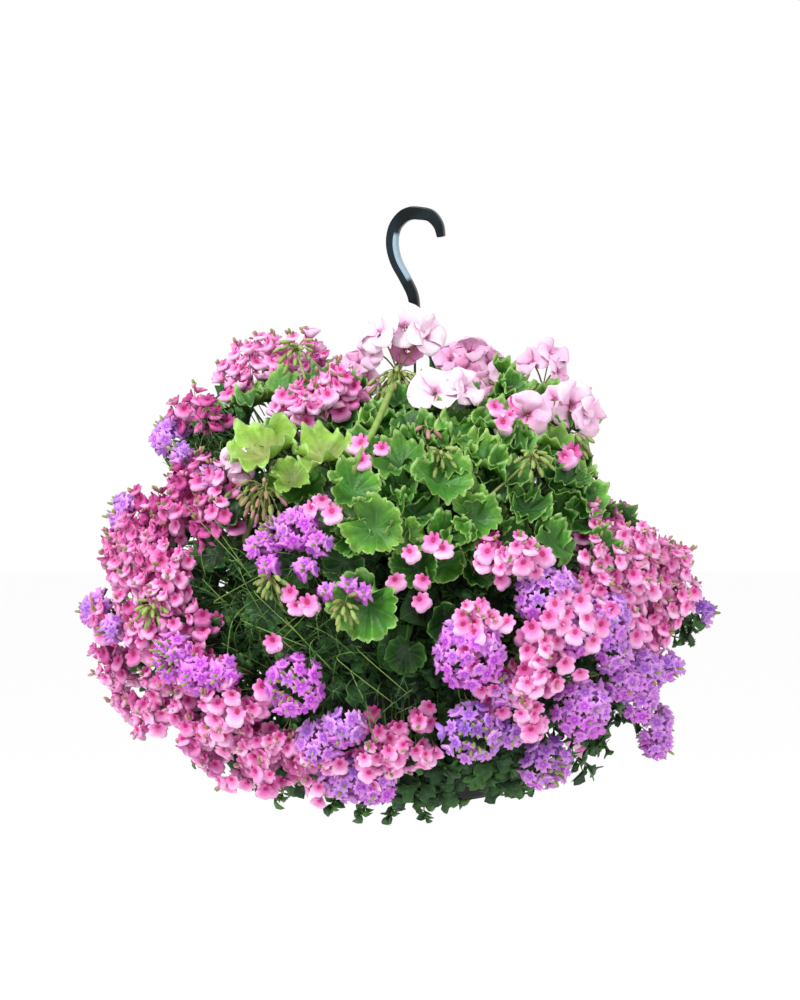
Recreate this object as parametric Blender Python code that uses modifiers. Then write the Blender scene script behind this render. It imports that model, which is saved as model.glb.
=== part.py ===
"""A hanging basket: a round plastic pot on a moulded hook and three wires, planted with
pelargonium, verbena and twinspur.

The origin is the seat of the hook, on the underside of its crown, where the basket hangs on
a bracket. +Z is up, and the viewer stands on the -Y side.
"""

import math
import random

import bmesh
import bpy
from mathutils import Matrix, Vector
from mathutils.bvhtree import BVHTree

MM = 0.001
GAP = 0.3 * MM
WELD = 0.005 * MM
UP = Vector((0, 0, 1))

# Hook: a flat moulded band, bent in one plane that is turned about the vertical
HOOK_TURN = math.radians(-20)
HOOK_THICKNESS = 9 * MM
# Its middle line from the tip over the crown to the hub: across, height and band width
HOOK_LINE = (
    (27.5, -17, 7),
    (24.5, -5, 9.5),
    (16, 4.2, 12),
    (4, 6.5, 13),
    (-4, 6.5, 13),
    (-13, 2.6, 12.5),
    (-21.5, -8, 11.5),
    (-24, -24, 11.5),
    (-20, -41, 11),
    (-10.5, -58, 10.5),
    (-2.5, -74, 10),
    (0, -90, 9),
    (0, -104, 9),
)
# The seat is the straight stretch that ends at this point of the line
HOOK_SEAT = 4
HUB_RADIUS = 10 * MM
HUB_HEIGHT = 8 * MM
HUB_Z = -104 * MM

# Pot: a tapered tub with a flange round its mouth
RIM_Z = -398 * MM
RIM_RADIUS = 150 * MM
RIM_FLANGE = 7 * MM
RIM_DEPTH = 4 * MM
BASE_RADIUS = 98 * MM
POT_HEIGHT = 170 * MM
POT_WALL = 2.5 * MM
POT_SIDES = 20
SOIL_DOWN = 20 * MM
SOIL_DOME = 8 * MM

# Wires from the hub to the flange
WIRE_RADIUS = 1.2 * MM
WIRE_HEADINGS = (90, 210, 330)
WIRE_HUB_RADIUS = 6.5 * MM

# Where each plant is rooted
ROOT_DEPTH = 30 * MM
ROOT_CLEARANCE = 1.0 * MM
PELARGONIUM_TRUNK = 4.5 * MM
PELARGONIUM_HEADINGS = (-90, 30, 150)
PELARGONIUM_ROOT = 42 * MM
# Each branch's spread in degrees, its rise and how far below the fork it starts, in mm
BRANCHES = ((-47, 44, 26), (6, 36, 2), (39, 40, 14))
BRANCH_REACH = 84 * MM
BRANCH_RADIUS = 3.5 * MM
# The fork of a pelargonium's trunk, out and up from its root, and its upright's two heights
FORK_OUT = 12 * MM
FORK_UP = 75 * MM
UPRIGHT_RISES = (50 * MM, 112 * MM)
TRAILER_TRUNK = 3.0 * MM
TRAILER_ROOT = 108 * MM
TRAILER_HEIGHT = 50 * MM
# A trailing stem passes this far outside and above the rim, keeps this far off the pot's
# wall, and comes to its head from behind, with a straight last stretch
RIM_PASS_OUT = 26 * MM
RIM_PASS_UP = 16 * MM
WALL_CLEARANCE = 12 * MM
APPROACH = 30 * MM
PEDUNCLE_APPROACH = 40 * MM
LAST_STRETCH = 6 * MM
VERBENA_HEADINGS = (-60, 30, 120, 210)
TWINSPUR_HEADINGS = (-105, -15, 75, 165)

# The planted mass is nearly an ellipsoid: its middle and its reach, in mm
MASS_MIDDLE = Vector((-15, 0, -385))
MASS_HALF = Vector((298, 262, 262))
MASS_HALF_BELOW = 215

# Places on the mass are given as they look, in mm, from 3 m in front and a little above:
# across from the hook seat, and down from it
VIEW_DISTANCE = 3000
VIEW_TILT = math.radians(5)
VIEW_AIM = Vector((-15, 0, -279))

# Pelargonium umbels: across, down, breadth, stand-off from the mass, side (1 front, -1 back)
UMBELS = (
    (-8, 147, 98, 30, 1),
    (52, 152, 66, 26, -1),
    (126, 150, 52, 46, 1),
    (146, 193, 70, 30, 1),
    (-176, 246, 44, 12, 1),
    (-60, 170, 84, 34, -1),
)

# Verbena heads: across, down, breadth, stand-off, side
VERBENA_HEADS = (
    (52, 429, 76, 6, 1),
    (56, 505, 68, 6, 1),
    (128, 378, 72, 4, 1),
    (184, 398, 62, 4, 1),
    (162, 484, 66, 6, 1),
    (128, 538, 58, 2, 1),
    (222, 452, 56, 2, 1),
    (236, 502, 48, 0, 1),
    (281, 391, 26, 6, 1),
    (-118, 462, 66, 6, 1),
    (-233, 434, 54, 6, 1),
    (-136, 316, 58, 0, 1),
    (-238, 222, 46, 6, 1),
    (-312, 391, 44, 2, 1),
    (-66, 552, 58, 0, 1),
    (-150, 330, 70, 4, -1),
    (70, 262, 66, 4, -1),
    (176, 430, 70, 4, -1),
)

# Twinspur sprays: across, down, breadth, stand-off, side
TWINSPUR_SPRAYS = (
    (-156, 152, 72, 10, 1),
    (-98, 180, 60, 6, 1),
    (-206, 204, 52, 0, 1),
    (-226, 270, 66, 4, 1),
    (-286, 312, 68, 2, 1),
    (-262, 374, 64, 8, 1),
    (-302, 446, 62, 2, 1),
    (-266, 490, 54, 8, 1),
    (-202, 520, 56, 4, 1),
    (-144, 532, 48, 4, 1),
    (-14, 526, 62, 0, 1),
    (92, 336, 58, 10, 1),
    (112, 458, 54, 12, 1),
    (200, 322, 64, 2, 1),
    (248, 352, 64, 2, 1),
    (20, 438, 90, 2, -1),
    (-100, 226, 84, 4, -1),
    (176, 300, 84, 4, -1),
)

# Large pelargonium leaves: across, down, breadth, stand-off, how far they face up (0 to 1)
PELARGONIUM_LEAVES = (
    (-155, 221, 66, 8, 0.55),
    (-90, 226, 58, 12, 0.6),
    (-128, 256, 36, 0, 0.35),
    (-163, 186, 44, -6, 0.3),
    (-90, 163, 54, -10, 0.5),
    (-180, 294, 48, -8, 0.1),
    (-40, 168, 50, -14, 0.7),
    (-14, 245, 62, 2, 0.5),
    (-66, 276, 54, 0, 0.35),
    (-40, 308, 60, 8, 0.0),
    (26, 264, 66, 8, 0.5),
    (44, 214, 54, 0, 0.6),
    (78, 206, 52, -2, 0.55),
    (18, 190, 48, -10, 0.6),
    (90, 258, 52, 2, 0.4),
    (60, 300, 50, -4, 0.3),
    (112, 290, 50, -2, 0.3),
    (130, 322, 50, 4, 0.0),
    (152, 262, 46, -4, 0.2),
    (182, 330, 46, 0, 0.1),
    (-46, 384, 76, 0, 0.1),
    (-118, 346, 44, -16, 0.1),
    (2, 348, 50, -10, 0.2),
    (-150, 390, 46, -16, 0.0),
    (58, 352, 44, -16, 0.2),
    (30, 400, 46, -18, 0.1),
    (-10, 430, 44, -22, 0.0),
)
# The leaves over the top and the back: the first one's tilt off the vertical and how much
# more the last has, how far round the back they spread, and how far out on the mass they lie
BACK_LEAVES = 15
BACK_LEAF_BREADTH = 60
BACK_TILTS = (18, 72)
BACK_SPREAD = 0.52
BACK_OUT = 0.9
GOLDEN_ANGLE = math.radians(137.5)

# Heads grow out of a core with twelve pentagons, which lie this share of its radius out
PENTAGON_AT = (1 + 1 / math.sqrt(5)) / 2
FLORET_CORE = 0.5
FLORET_SPREAD = 1.78
# An umbel's parts as shares of its radius, and how a stalk narrows and a flower spreads
UMBEL_CORE = 0.3
UMBEL_STALK = 0.34
PETAL_RISE = 0.18
UMBEL_THROAT = 0.12
STALK_TAPER = 0.4
PETAL_SPREAD = 6.4
PETAL_NOTCH = 0.3
# Verbena and twinspur heads: width over their breadth, stretch, draw and depth of throat
VERBENA_FORM = (1.06, 0.92, 0.42, 0)
TWINSPUR_FORM = (1.24, 1.25, 0.4, 0.14)

# A head that would cross another moves out by steps (mm), then shrinks by a share
HEAD_TRIES = 48
HEAD_STEPS = 6
HEAD_STEP = 4.0
HEAD_SHRINK = 0.05
HEAD_LIFT = 0.25

# Leaves; the small ones by length, width and number of corners
BLADE = 1.0 * MM
STALK_SHARE = 0.22
LEAF_RIM = 12
LOBE_DIP = 0.9
SINUS_DEPTH = 0.5
FUNNEL_DEPTH = 0.12
LEAF_WAVE = 0.07
LEAF_RIPPLE = 0.03
# A leaf that would cross another is shifted along its facing (mm), then made smaller, and
# past the strict share of its tries it may grow into its own plant's leaves
LEAF_TRIES = 70
LEAF_SHIFTS = (0, 6, -6, 12, -12, 18, -18)
LEAF_SHRINK = 0.15
LEAF_STRICT = 0.7
VERBENA_LEAF = (34 * MM, 18 * MM, 8)
TWINSPUR_LEAF = (26 * MM, 17 * MM, 6)
LEAVES_A_PLANT = 4
STEM_RADIUS = 1.1 * MM
PEDUNCLE_RADIUS = 2.4 * MM


def clear_scene():
    for old in list(bpy.data.objects):
        bpy.data.objects.remove(old, do_unlink=True)


def new_collection(name):
    made = bpy.data.collections.new(name)
    bpy.context.scene.collection.children.link(made)
    return made


def make_material(name, colour, roughness):
    """A plain surface: a name, its linear colour and how rough it is."""
    made = bpy.data.materials.new(name)
    made.use_nodes = True
    shader = made.node_tree.nodes["Principled BSDF"]
    shader.inputs["Base Color"].default_value = (*colour, 1.0)
    shader.inputs["Roughness"].default_value = roughness
    return made


def add_object(name, mesh, material, collection):
    mesh.name = name
    made = bpy.data.objects.new(name, mesh)
    mesh.materials.clear()
    mesh.materials.append(material)
    collection.objects.link(made)
    return made


def mesh_from(bm):
    """The bmesh as a mesh, in triangles that face out."""
    bmesh.ops.recalc_face_normals(bm, faces=bm.faces[:])
    bmesh.ops.triangulate(bm, faces=bm.faces[:])
    mesh = bpy.data.meshes.new("shape")
    bm.to_mesh(mesh)
    bm.free()
    return mesh


def evaluated_mesh(obj):
    """The object's shape with its modifiers, as a mesh of its own in world space."""
    bpy.context.view_layer.update()
    shown = obj.evaluated_get(bpy.context.evaluated_depsgraph_get())
    mesh = bpy.data.meshes.new_from_object(shown)
    mesh.transform(obj.matrix_world)
    return mesh


def applied(obj):
    """Give the object the shape that its modifiers make."""
    mesh = evaluated_mesh(obj)
    obj.modifiers.clear()
    obj.matrix_world = Matrix()
    obj.data = mesh
    return obj


def boolean(obj, operation, cutter):
    mod = obj.modifiers.new(operation.lower(), "BOOLEAN")
    mod.operation = operation
    mod.solver = "EXACT"
    mod.object = cutter


def heading(degrees, radius, z):
    """A point at a compass heading about the basket's axis, counted from +X to +Y."""
    angle = math.radians(degrees)
    return Vector((radius * math.cos(angle), radius * math.sin(angle), z))


def smooth_path(points, steps):
    """A Catmull-Rom curve through the points, with `steps` pieces between each two."""
    line = [points[0]] + list(points) + [points[-1]]
    path = []
    for before, a, b, after in zip(line, line[1:], line[2:], line[3:]):
        for step in range(steps):
            t = step / steps
            path.append(
                0.5
                * (
                    2 * a
                    + (b - before) * t
                    + (2 * before - 5 * a + 4 * b - after) * t**2
                    + (3 * a - before - 3 * b + after) * t**3
                )
            )
    path.append(points[-1].copy())
    return path


def tube(path, radius, tip_radius=None, sides=4):
    """A round wire or stem along the path, which may thin towards its tip, as a bmesh."""
    tip_radius = tip_radius or radius
    data = bpy.data.curves.new("tube", "CURVE")
    data.dimensions = "3D"
    data.bevel_depth = radius
    data.bevel_resolution = (sides - 4) // 2
    data.use_fill_caps = True
    spline = data.splines.new("POLY")
    spline.points.add(len(path) - 1)
    for index, place in enumerate(path):
        share = index / (len(path) - 1)
        spline.points[index].co = (*place, 1)
        spline.points[index].radius = 1 + share * (tip_radius / radius - 1)
    guide = bpy.data.objects.new("tube", data)
    bpy.context.scene.collection.objects.link(guide)
    mesh = evaluated_mesh(guide)
    bpy.data.objects.remove(guide, do_unlink=True)
    bm = bmesh.new()
    bm.from_mesh(mesh)
    bpy.data.meshes.remove(mesh)
    bmesh.ops.remove_doubles(bm, verts=bm.verts[:], dist=WELD)
    bmesh.ops.recalc_face_normals(bm, faces=bm.faces[:])
    return bm


def turned(name, profile, material, collection):
    """A turned solid from its half outline, given from the top down its outer side."""
    mesh = bpy.data.meshes.new(name)
    bm = bmesh.new()
    verts = [bm.verts.new((r, 0, z)) for r, z in profile]
    for a, b in zip(verts, verts[1:]):
        bm.edges.new((a, b))
    bm.to_mesh(mesh)
    bm.free()
    made = add_object(name, mesh, material, collection)
    screw = made.modifiers.new("turn", "SCREW")
    screw.axis = "Z"
    screw.steps = POT_SIDES
    screw.render_steps = POT_SIDES
    screw.use_merge_vertices = True
    screw.merge_threshold = 0.00001
    return applied(made)


def joined(name, pieces, material, collection):
    """Fuse closed pieces into one body, and drop any scrap that stays loose."""
    scraps = bpy.data.collections.new(name + "_pieces")
    bpy.context.scene.collection.children.link(scraps)
    made = add_object(name, mesh_from(pieces[0]), material, collection)
    for index, piece in enumerate(pieces[1:]):
        add_object(f"piece_{index}", mesh_from(piece), material, scraps)
    mod = made.modifiers.new("fuse", "BOOLEAN")
    mod.operation = "UNION"
    mod.operand_type = "COLLECTION"
    mod.collection = scraps
    mod.solver = "MANIFOLD"
    applied(made)
    for scrap in list(scraps.objects):
        bpy.data.objects.remove(scrap, do_unlink=True)
    bpy.data.collections.remove(scraps)
    keep_largest(made)
    return made


def keep_largest(obj):
    """Leave only the body with the most faces, in triangles."""
    bm = bmesh.new()
    bm.from_mesh(obj.data)
    bmesh.ops.triangulate(bm, faces=bm.faces[:], ngon_method="EAR_CLIP")
    left = set(bm.faces)
    bodies = []
    while left:
        body = set()
        front = [left.pop()]
        while front:
            face = front.pop()
            body.add(face)
            for edge in face.edges:
                for other in edge.link_faces:
                    if other in left:
                        left.remove(other)
                        front.append(other)
        bodies.append(body)
    bodies.sort(key=len)
    for body in bodies[:-1]:
        bmesh.ops.delete(bm, geom=list(body), context="FACES")
    bm.to_mesh(obj.data)
    bm.free()


class Room:
    """The space inside the basket's outline, with what already stands in it."""

    def __init__(self):
        self.taken = []

    def take(self, owner, bm):
        tree = BVHTree.FromBMesh(bm)
        self.taken.append((owner, *limits(bm), tree))

    def take_object(self, obj):
        bm = bmesh.new()
        bm.from_mesh(obj.data)
        self.take(obj.name, bm)
        bm.free()

    def crossed(self, owner, bm, also=()):
        """The first owner whose piece this one crosses, but for its own and those in `also`."""
        low, high = limits(bm)
        tree = None
        for other, other_low, other_high, other_tree in self.taken:
            if other == owner or other in also:
                continue
            if any(low[i] > other_high[i] or high[i] < other_low[i] for i in range(3)):
                continue
            tree = tree or BVHTree.FromBMesh(bm)
            if tree.overlap(other_tree):
                return other
        return None

    def is_clear(self, owner, bm, also=()):
        return self.crossed(owner, bm, also) is None


def limits(bm):
    places = [v.co for v in bm.verts]
    low = [min(p[i] for p in places) - GAP for i in range(3)]
    high = [max(p[i] for p in places) + GAP for i in range(3)]
    return low, high


def mass_reach(point):
    """How far the mass reaches towards the viewer beside a point on its middle plane."""
    half_up = MASS_HALF.z if point.z > MASS_MIDDLE.z else MASS_HALF_BELOW
    across = (point.x - MASS_MIDDLE.x) / MASS_HALF.x
    along = (point.z - MASS_MIDDLE.z) / half_up
    return MASS_HALF.y * math.sqrt(max(0.0, 1 - across**2 - along**2))


def seen_place(across, down, reach):
    """The point that looks this far across and down, and lies `reach` towards the viewer."""
    scale = 1 - reach / VIEW_DISTANCE
    right = (across - VIEW_AIM.x) * scale
    rise = (-VIEW_AIM.z - down) * scale
    towards = Vector((0, -math.cos(VIEW_TILT), math.sin(VIEW_TILT)))
    upwards = Vector((0, math.sin(VIEW_TILT), math.cos(VIEW_TILT)))
    return VIEW_AIM + Vector((right, 0, 0)) + upwards * rise + towards * reach


def outward(point):
    """The direction in which the mass faces at a point, in mm."""
    half_up = MASS_HALF.z if point.z > MASS_MIDDLE.z else MASS_HALF_BELOW
    away = point - MASS_MIDDLE
    return Vector(
        (
            away.x / MASS_HALF.x**2,
            away.y / MASS_HALF.y**2,
            away.z / half_up**2,
        )
    ).normalized()


def on_mass(across, down, stand_off, side):
    """A place on the mass as it looks from the front, and the way the mass faces there."""
    reach = 0.0
    for _ in range(6):
        reach = side * mass_reach(seen_place(across, down, reach))
    place = seen_place(across, down, reach)
    facing = outward(place)
    return (place + facing * stand_off) * MM, facing


def frame_at(place, facing, along=UP):
    """A placement whose Z axis is `facing` and whose X axis leans towards `along`."""
    z = facing.normalized()
    x = along - along.dot(z) * z
    if x.length < 0.05:
        x = Vector((1, 0, 0)) - z.x * z
    x.normalize()
    y = z.cross(x)
    turn = Matrix((x, y, z)).transposed().to_4x4()
    return Matrix.Translation(place) @ turn


def hook_outline():
    """The band's outline in its own plane: out along one edge and back along the other."""
    line = smooth_path([Vector(point) for point in HOOK_LINE[:HOOK_SEAT]], 2)
    seat_ends = (len(line) - 1, len(line))
    line += smooth_path([Vector(point) for point in HOOK_LINE[HOOK_SEAT:]], 2)
    one_side = []
    other_side = []
    for index, place in enumerate(line):
        before = line[max(index - 1, 0)]
        after = line[min(index + 1, len(line) - 1)]
        along = Vector((after.x - before.x, after.y - before.y))
        if index in seat_ends:
            along = Vector((-1, 0))
        along.normalize()
        across = Vector((-along.y, along.x)) * place.z / 2
        middle = Vector((place.x, place.y))
        one_side.append((middle + across) * MM)
        other_side.append((middle - across) * MM)
    return one_side + other_side[::-1]


def build_hook(material, collection):
    """The C-shaped hook with its shank, and the round hub that carries the wires."""
    data = bpy.data.curves.new("hook", "CURVE")
    data.dimensions = "2D"
    data.fill_mode = "BOTH"
    data.extrude = HOOK_THICKNESS / 2
    outline = hook_outline()
    spline = data.splines.new("POLY")
    spline.use_cyclic_u = True
    spline.points.add(len(outline) - 1)
    for point, place in zip(spline.points, outline):
        point.co = (place.x, place.y, 0, 1)
    flat = bpy.data.objects.new("hook_outline", data)
    flat.matrix_world = Matrix.Rotation(HOOK_TURN, 4, "Z") @ Matrix.Rotation(
        math.pi / 2, 4, "X"
    )
    bpy.context.scene.collection.objects.link(flat)
    bpy.context.view_layer.update()
    band = evaluated_mesh(flat)
    bpy.data.objects.remove(flat, do_unlink=True)
    bm = bmesh.new()
    bm.from_mesh(band)
    bmesh.ops.remove_doubles(bm, verts=bm.verts[:], dist=WELD)
    hub = bmesh.new()
    bmesh.ops.create_cone(
        hub,
        cap_ends=True,
        segments=12,
        radius1=HUB_RADIUS,
        radius2=HUB_RADIUS * 0.8,
        depth=HUB_HEIGHT,
        matrix=Matrix.Translation((0, 0, HUB_Z)),
    )
    return joined("hook", [bm, hub], material, collection)


def build_wire(index, degrees, material, collection):
    """One wire from under the hub, out to the flange and round beneath it."""
    hub_under = HUB_Z - HUB_HEIGHT / 2 - GAP
    outside = RIM_RADIUS + GAP + WIRE_RADIUS
    under = RIM_Z - RIM_DEPTH - GAP - WIRE_RADIUS * 1.3
    route = (
        (WIRE_HUB_RADIUS, hub_under),
        (WIRE_HUB_RADIUS, hub_under - 8 * MM),
        (outside - 12 * MM, RIM_Z + 34 * MM),
        (outside + 1 * MM, RIM_Z + 8 * MM),
        (outside + 0.6 * MM, under + 1.5 * MM),
        (outside - 2 * MM, under - 0.6 * MM),
        (RIM_RADIUS - 5 * MM, under - 0.6 * MM),
    )
    path = [heading(degrees, radius, z) for radius, z in route]
    mesh = mesh_from(tube(path, WIRE_RADIUS, sides=6))
    return add_object(f"hanger_wire_{index}", mesh, material, collection)


def pot_radius(z):
    """The outside radius of the pot's wall at a height."""
    down = (RIM_Z - z) / POT_HEIGHT
    return RIM_RADIUS - RIM_FLANGE + down * (BASE_RADIUS - RIM_RADIUS + RIM_FLANGE)


def build_pot(material, collection):
    """The tub: in over its floor, up its inner wall, over the flange and down outside."""
    base = RIM_Z - POT_HEIGHT
    floor = base + POT_WALL
    under_flange = RIM_Z - RIM_DEPTH
    profile = (
        (0, floor),
        (pot_radius(floor) - POT_WALL - 4 * MM, floor),
        (pot_radius(floor + 4 * MM) - POT_WALL, floor + 4 * MM),
        (pot_radius(RIM_Z) - POT_WALL, RIM_Z - 1 * MM),
        (pot_radius(RIM_Z) - POT_WALL + 1 * MM, RIM_Z),
        (RIM_RADIUS - 1 * MM, RIM_Z),
        (RIM_RADIUS, RIM_Z - 1 * MM),
        (RIM_RADIUS, under_flange),
        (pot_radius(under_flange), under_flange),
        (pot_radius(base + 4 * MM), base + 4 * MM),
        (pot_radius(base) - 4 * MM, base),
        (0, base),
    )
    return turned("pot", profile, material, collection)


def soil_profile():
    """The soil's half outline, a gap inside the pot's wall and floor, domed on top."""
    top = RIM_Z - SOIL_DOWN
    base = RIM_Z - POT_HEIGHT + POT_WALL + GAP
    wall = POT_WALL + GAP * 1.5
    return (
        (0, top + SOIL_DOME),
        (70 * MM, top + SOIL_DOME * 0.7),
        (pot_radius(top) - wall, top),
        (pot_radius(base + 5 * MM) - wall, base + 5 * MM),
        (pot_radius(base + 5 * MM) - wall - 5 * MM, base),
        (0, base),
    )


def root_places():
    """Where each plant's stems enter the soil: its name, place and trunk radius."""
    roots = {}
    top = RIM_Z - SOIL_DOWN
    for index, degrees in enumerate(PELARGONIUM_HEADINGS, 1):
        place = heading(degrees, PELARGONIUM_ROOT, top)
        roots[f"pelargonium_plant_{index}"] = (place, PELARGONIUM_TRUNK)
    for index, degrees in enumerate(VERBENA_HEADINGS, 1):
        place = heading(degrees, TRAILER_ROOT, top)
        roots[f"verbena_plant_{index}"] = (place, TRAILER_TRUNK)
    for index, degrees in enumerate(TWINSPUR_HEADINGS, 1):
        place = heading(degrees, TRAILER_ROOT, top)
        roots[f"twinspur_plant_{index}"] = (place, TRAILER_TRUNK)
    return roots


def build_soil(material, collection, cutters):
    """The soil, with a plain round hole for every plant."""
    soil = turned("soil", soil_profile(), material, collection)
    holes = bmesh.new()
    for place, radius in root_places().values():
        bmesh.ops.create_cone(
            holes,
            cap_ends=True,
            segments=6,
            radius1=radius * 1.1 + ROOT_CLEARANCE,
            radius2=radius * 1.1 + ROOT_CLEARANCE,
            depth=ROOT_DEPTH * 2,
            matrix=Matrix.Translation(place),
        )
    cutter = add_object("soil_holes", mesh_from(holes), material, cutters)
    cutter.hide_render = True
    cutter.display_type = "WIRE"
    boolean(soil, "DIFFERENCE", cutter)
    return applied(soil)


def floret_ball(radius, stretch):
    """A small core of twelve pentagons with triangles between, stretched along Z."""
    bm = bmesh.new()
    bmesh.ops.create_icosphere(bm, subdivisions=1, radius=radius)
    bmesh.ops.bevel(
        bm,
        geom=bm.verts[:],
        offset=50,
        offset_type="PERCENT",
        affect="VERTICES",
        segments=1,
        profile=0.5,
        material=-1,
    )
    bmesh.ops.remove_doubles(bm, verts=bm.verts[:], dist=WELD)
    bmesh.ops.scale(bm, vec=(1, 1, stretch), verts=bm.verts[:])
    bm.normal_update()
    return bm


def raise_face(bm, face, rise, spread):
    """Draw a face out along its normal and spread its corners by a factor."""
    normal = face.normal.copy()
    drawn = bmesh.ops.extrude_discrete_faces(bm, faces=[face])["faces"][0]
    middle = drawn.calc_center_median()
    bmesh.ops.scale(
        bm,
        vec=(spread, spread, spread),
        space=Matrix.Translation(-middle),
        verts=drawn.verts[:],
    )
    bmesh.ops.translate(bm, vec=normal * rise, verts=drawn.verts[:])
    return drawn


def notch_petals(bm, face, depth):
    """Cut a notch into the middle of each side, so that the corners become petals."""
    middle = face.calc_center_median()
    corners = set(face.verts)
    bmesh.ops.subdivide_edges(bm, edges=face.edges[:], cuts=1)
    for vert in face.verts:
        if vert not in corners:
            vert.co = vert.co.lerp(middle, depth)


def floret_head(breadth, stretch, draw, throat, rng):
    """A packed head of florets: eleven stand out of the core, and the stem meets the last."""
    radius = breadth / 2
    core = radius * FLORET_CORE
    bm = floret_ball(core, stretch)
    petals = [f for f in bm.faces if len(f.verts) == 5 and f.normal.z > -0.9]
    for face in petals:
        rise = radius * draw * rng.uniform(0.92, 1.06)
        cap = raise_face(bm, face, rise, FLORET_SPREAD * rng.uniform(0.94, 1.02))
        if throat:
            bmesh.ops.poke(bm, faces=[cap], offset=-radius * throat)
    return bm, core * stretch * PENTAGON_AT


def umbel_head(breadth, rng):
    """A loose umbel: stalked flowers with five notched petals round a knot of buds."""
    radius = breadth / 2
    core = radius * UMBEL_CORE
    bm = floret_ball(core, 1.0)
    flowers = [f for f in bm.faces if len(f.verts) == 5 and f.normal.z > -0.2]
    for face in flowers:
        rise = radius * UMBEL_STALK * rng.uniform(0.9, 1.1)
        stalk = raise_face(bm, face, rise, STALK_TAPER)
        spread = PETAL_SPREAD * rng.uniform(0.92, 1.0)
        cap = raise_face(bm, stalk, radius * PETAL_RISE, spread)
        notch_petals(bm, cap, PETAL_NOTCH)
        bmesh.ops.poke(bm, faces=[cap], offset=-radius * UMBEL_THROAT)
    return bm, core * PENTAGON_AT


def settled(room, name, make, across, down, breadth, stand_off, side):
    """Place a head on the mass, drawn out or made smaller until it crosses nothing."""
    for attempt in range(HEAD_TRIES):
        shift = (attempt % HEAD_STEPS) * HEAD_STEP
        size = breadth * (1 - HEAD_SHRINK * (attempt // HEAD_STEPS)) * MM
        place, facing = on_mass(across, down, stand_off + shift, side)
        facing = (facing + HEAD_LIFT * UP).normalized()
        bm, seat = make(size, random.Random(name))
        bmesh.ops.transform(bm, matrix=frame_at(place, facing), verts=bm.verts[:])
        bmesh.ops.triangulate(bm, faces=bm.faces[:])
        if room.is_clear(name, bm):
            break
        bm.free()
    else:
        raise ValueError(f"{name} finds no clear place")
    room.take(name, bm)
    return bm, place - facing * (seat + GAP), facing


def pelargonium_blade(breadth, rng):
    """A round, scalloped and waved blade, like a shallow funnel."""
    bm = bmesh.new()
    bmesh.ops.create_circle(
        bm, cap_ends=True, cap_tris=True, segments=LEAF_RIM, radius=breadth / 2
    )
    phase = rng.uniform(0, math.tau)
    for index, vert in enumerate(sorted(bm.verts, key=polar)):
        radius = vert.co.xy.length
        if radius < WELD:
            continue
        angle = polar(vert)
        lobe = 1.0 if index % 2 else LOBE_DIP
        sinus = 1 - SINUS_DEPTH * max(0.0, -math.cos(angle)) ** 8
        vert.co.x *= lobe * sinus
        vert.co.y *= lobe * sinus
        ripple = LEAF_RIPPLE if index % 2 else -LEAF_RIPPLE
        wave = LEAF_WAVE * math.sin(3 * angle + phase) + ripple
        vert.co.z = breadth * (FUNNEL_DEPTH + wave)
    return thickened(bm)


def polar(vert):
    return math.atan2(vert.co.y, vert.co.x)


def small_blade(size):
    """A small pointed leaf with an uneven edge, arched along its midrib."""
    length, width, corners = size
    bm = bmesh.new()
    bmesh.ops.create_circle(
        bm, cap_ends=True, cap_tris=True, segments=corners, radius=length / 2
    )
    for index, vert in enumerate(sorted(bm.verts, key=polar)):
        tooth = 1.0 if index % 2 else 0.8
        share = vert.co.x / length + 0.5
        vert.co.y *= tooth * width / length * (1.15 - 0.5 * share)
        vert.co.x += length * 0.42
        vert.co.z = length * (0.22 * share - 0.3 * share**2) + abs(vert.co.y) * 0.35
    return thickened(bm)


def thickened(bm):
    """Give a sheet the blade's thickness, with the same triangles on both faces."""
    grown = bmesh.ops.extrude_face_region(bm, geom=bm.faces[:])["geom"]
    upper = [part for part in grown if isinstance(part, bmesh.types.BMVert)]
    bmesh.ops.translate(bm, vec=(0, 0, BLADE), verts=upper)
    bmesh.ops.recalc_face_normals(bm, faces=bm.faces[:])
    return bm


def build_heads(room, kind, rows, make, material, collection):
    """Make every head of a kind, and list where its stem has to arrive."""
    seats = []
    for index, row in enumerate(rows, 1):
        name = f"{kind}_{index:02d}"
        bm, seat, facing = settled(room, name, make, *row)
        add_object(name, mesh_from(bm), material, collection)
        seats.append((seat, facing))
    return seats


def nearest_plant(roots, kind, place):
    """The plant of a kind whose root lies nearest in direction."""
    names = [name for name in roots if name.startswith(kind)]
    flat = Vector((place.x, place.y))
    return max(names, key=lambda name: flat.dot(roots[name][0].xy.normalized()))


def bends(facing):
    """Ways to bend a stem's middle: not at all, then round a widening ring."""
    sideways = UP.cross(facing).normalized()
    yield Vector()
    for reach in (10, 20, 30, 42, 56, 70):
        for step in range(8):
            turn = step * math.tau / 8
            yield (sideways * math.cos(turn) + UP * math.sin(turn)) * reach * MM


def bent_clear(room, name, facing, route, radius, tip_radius, steps=2):
    """A stem along the route, with its middle bent until it crosses no other plant.

    Its last stretch is straight, so that its end lies flat under the head.
    """
    for bend in bends(facing):
        points = route(bend)
        path = smooth_path(points[:-2], steps) + points[-2:]
        stem = tube(path, radius, tip_radius)
        blocked = room.crossed(name, stem)
        if blocked is None:
            room.take(name, stem)
            return stem, path
        stem.free()
    raise ValueError(f"{name} has a stem with no clear way past {blocked}")


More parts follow.
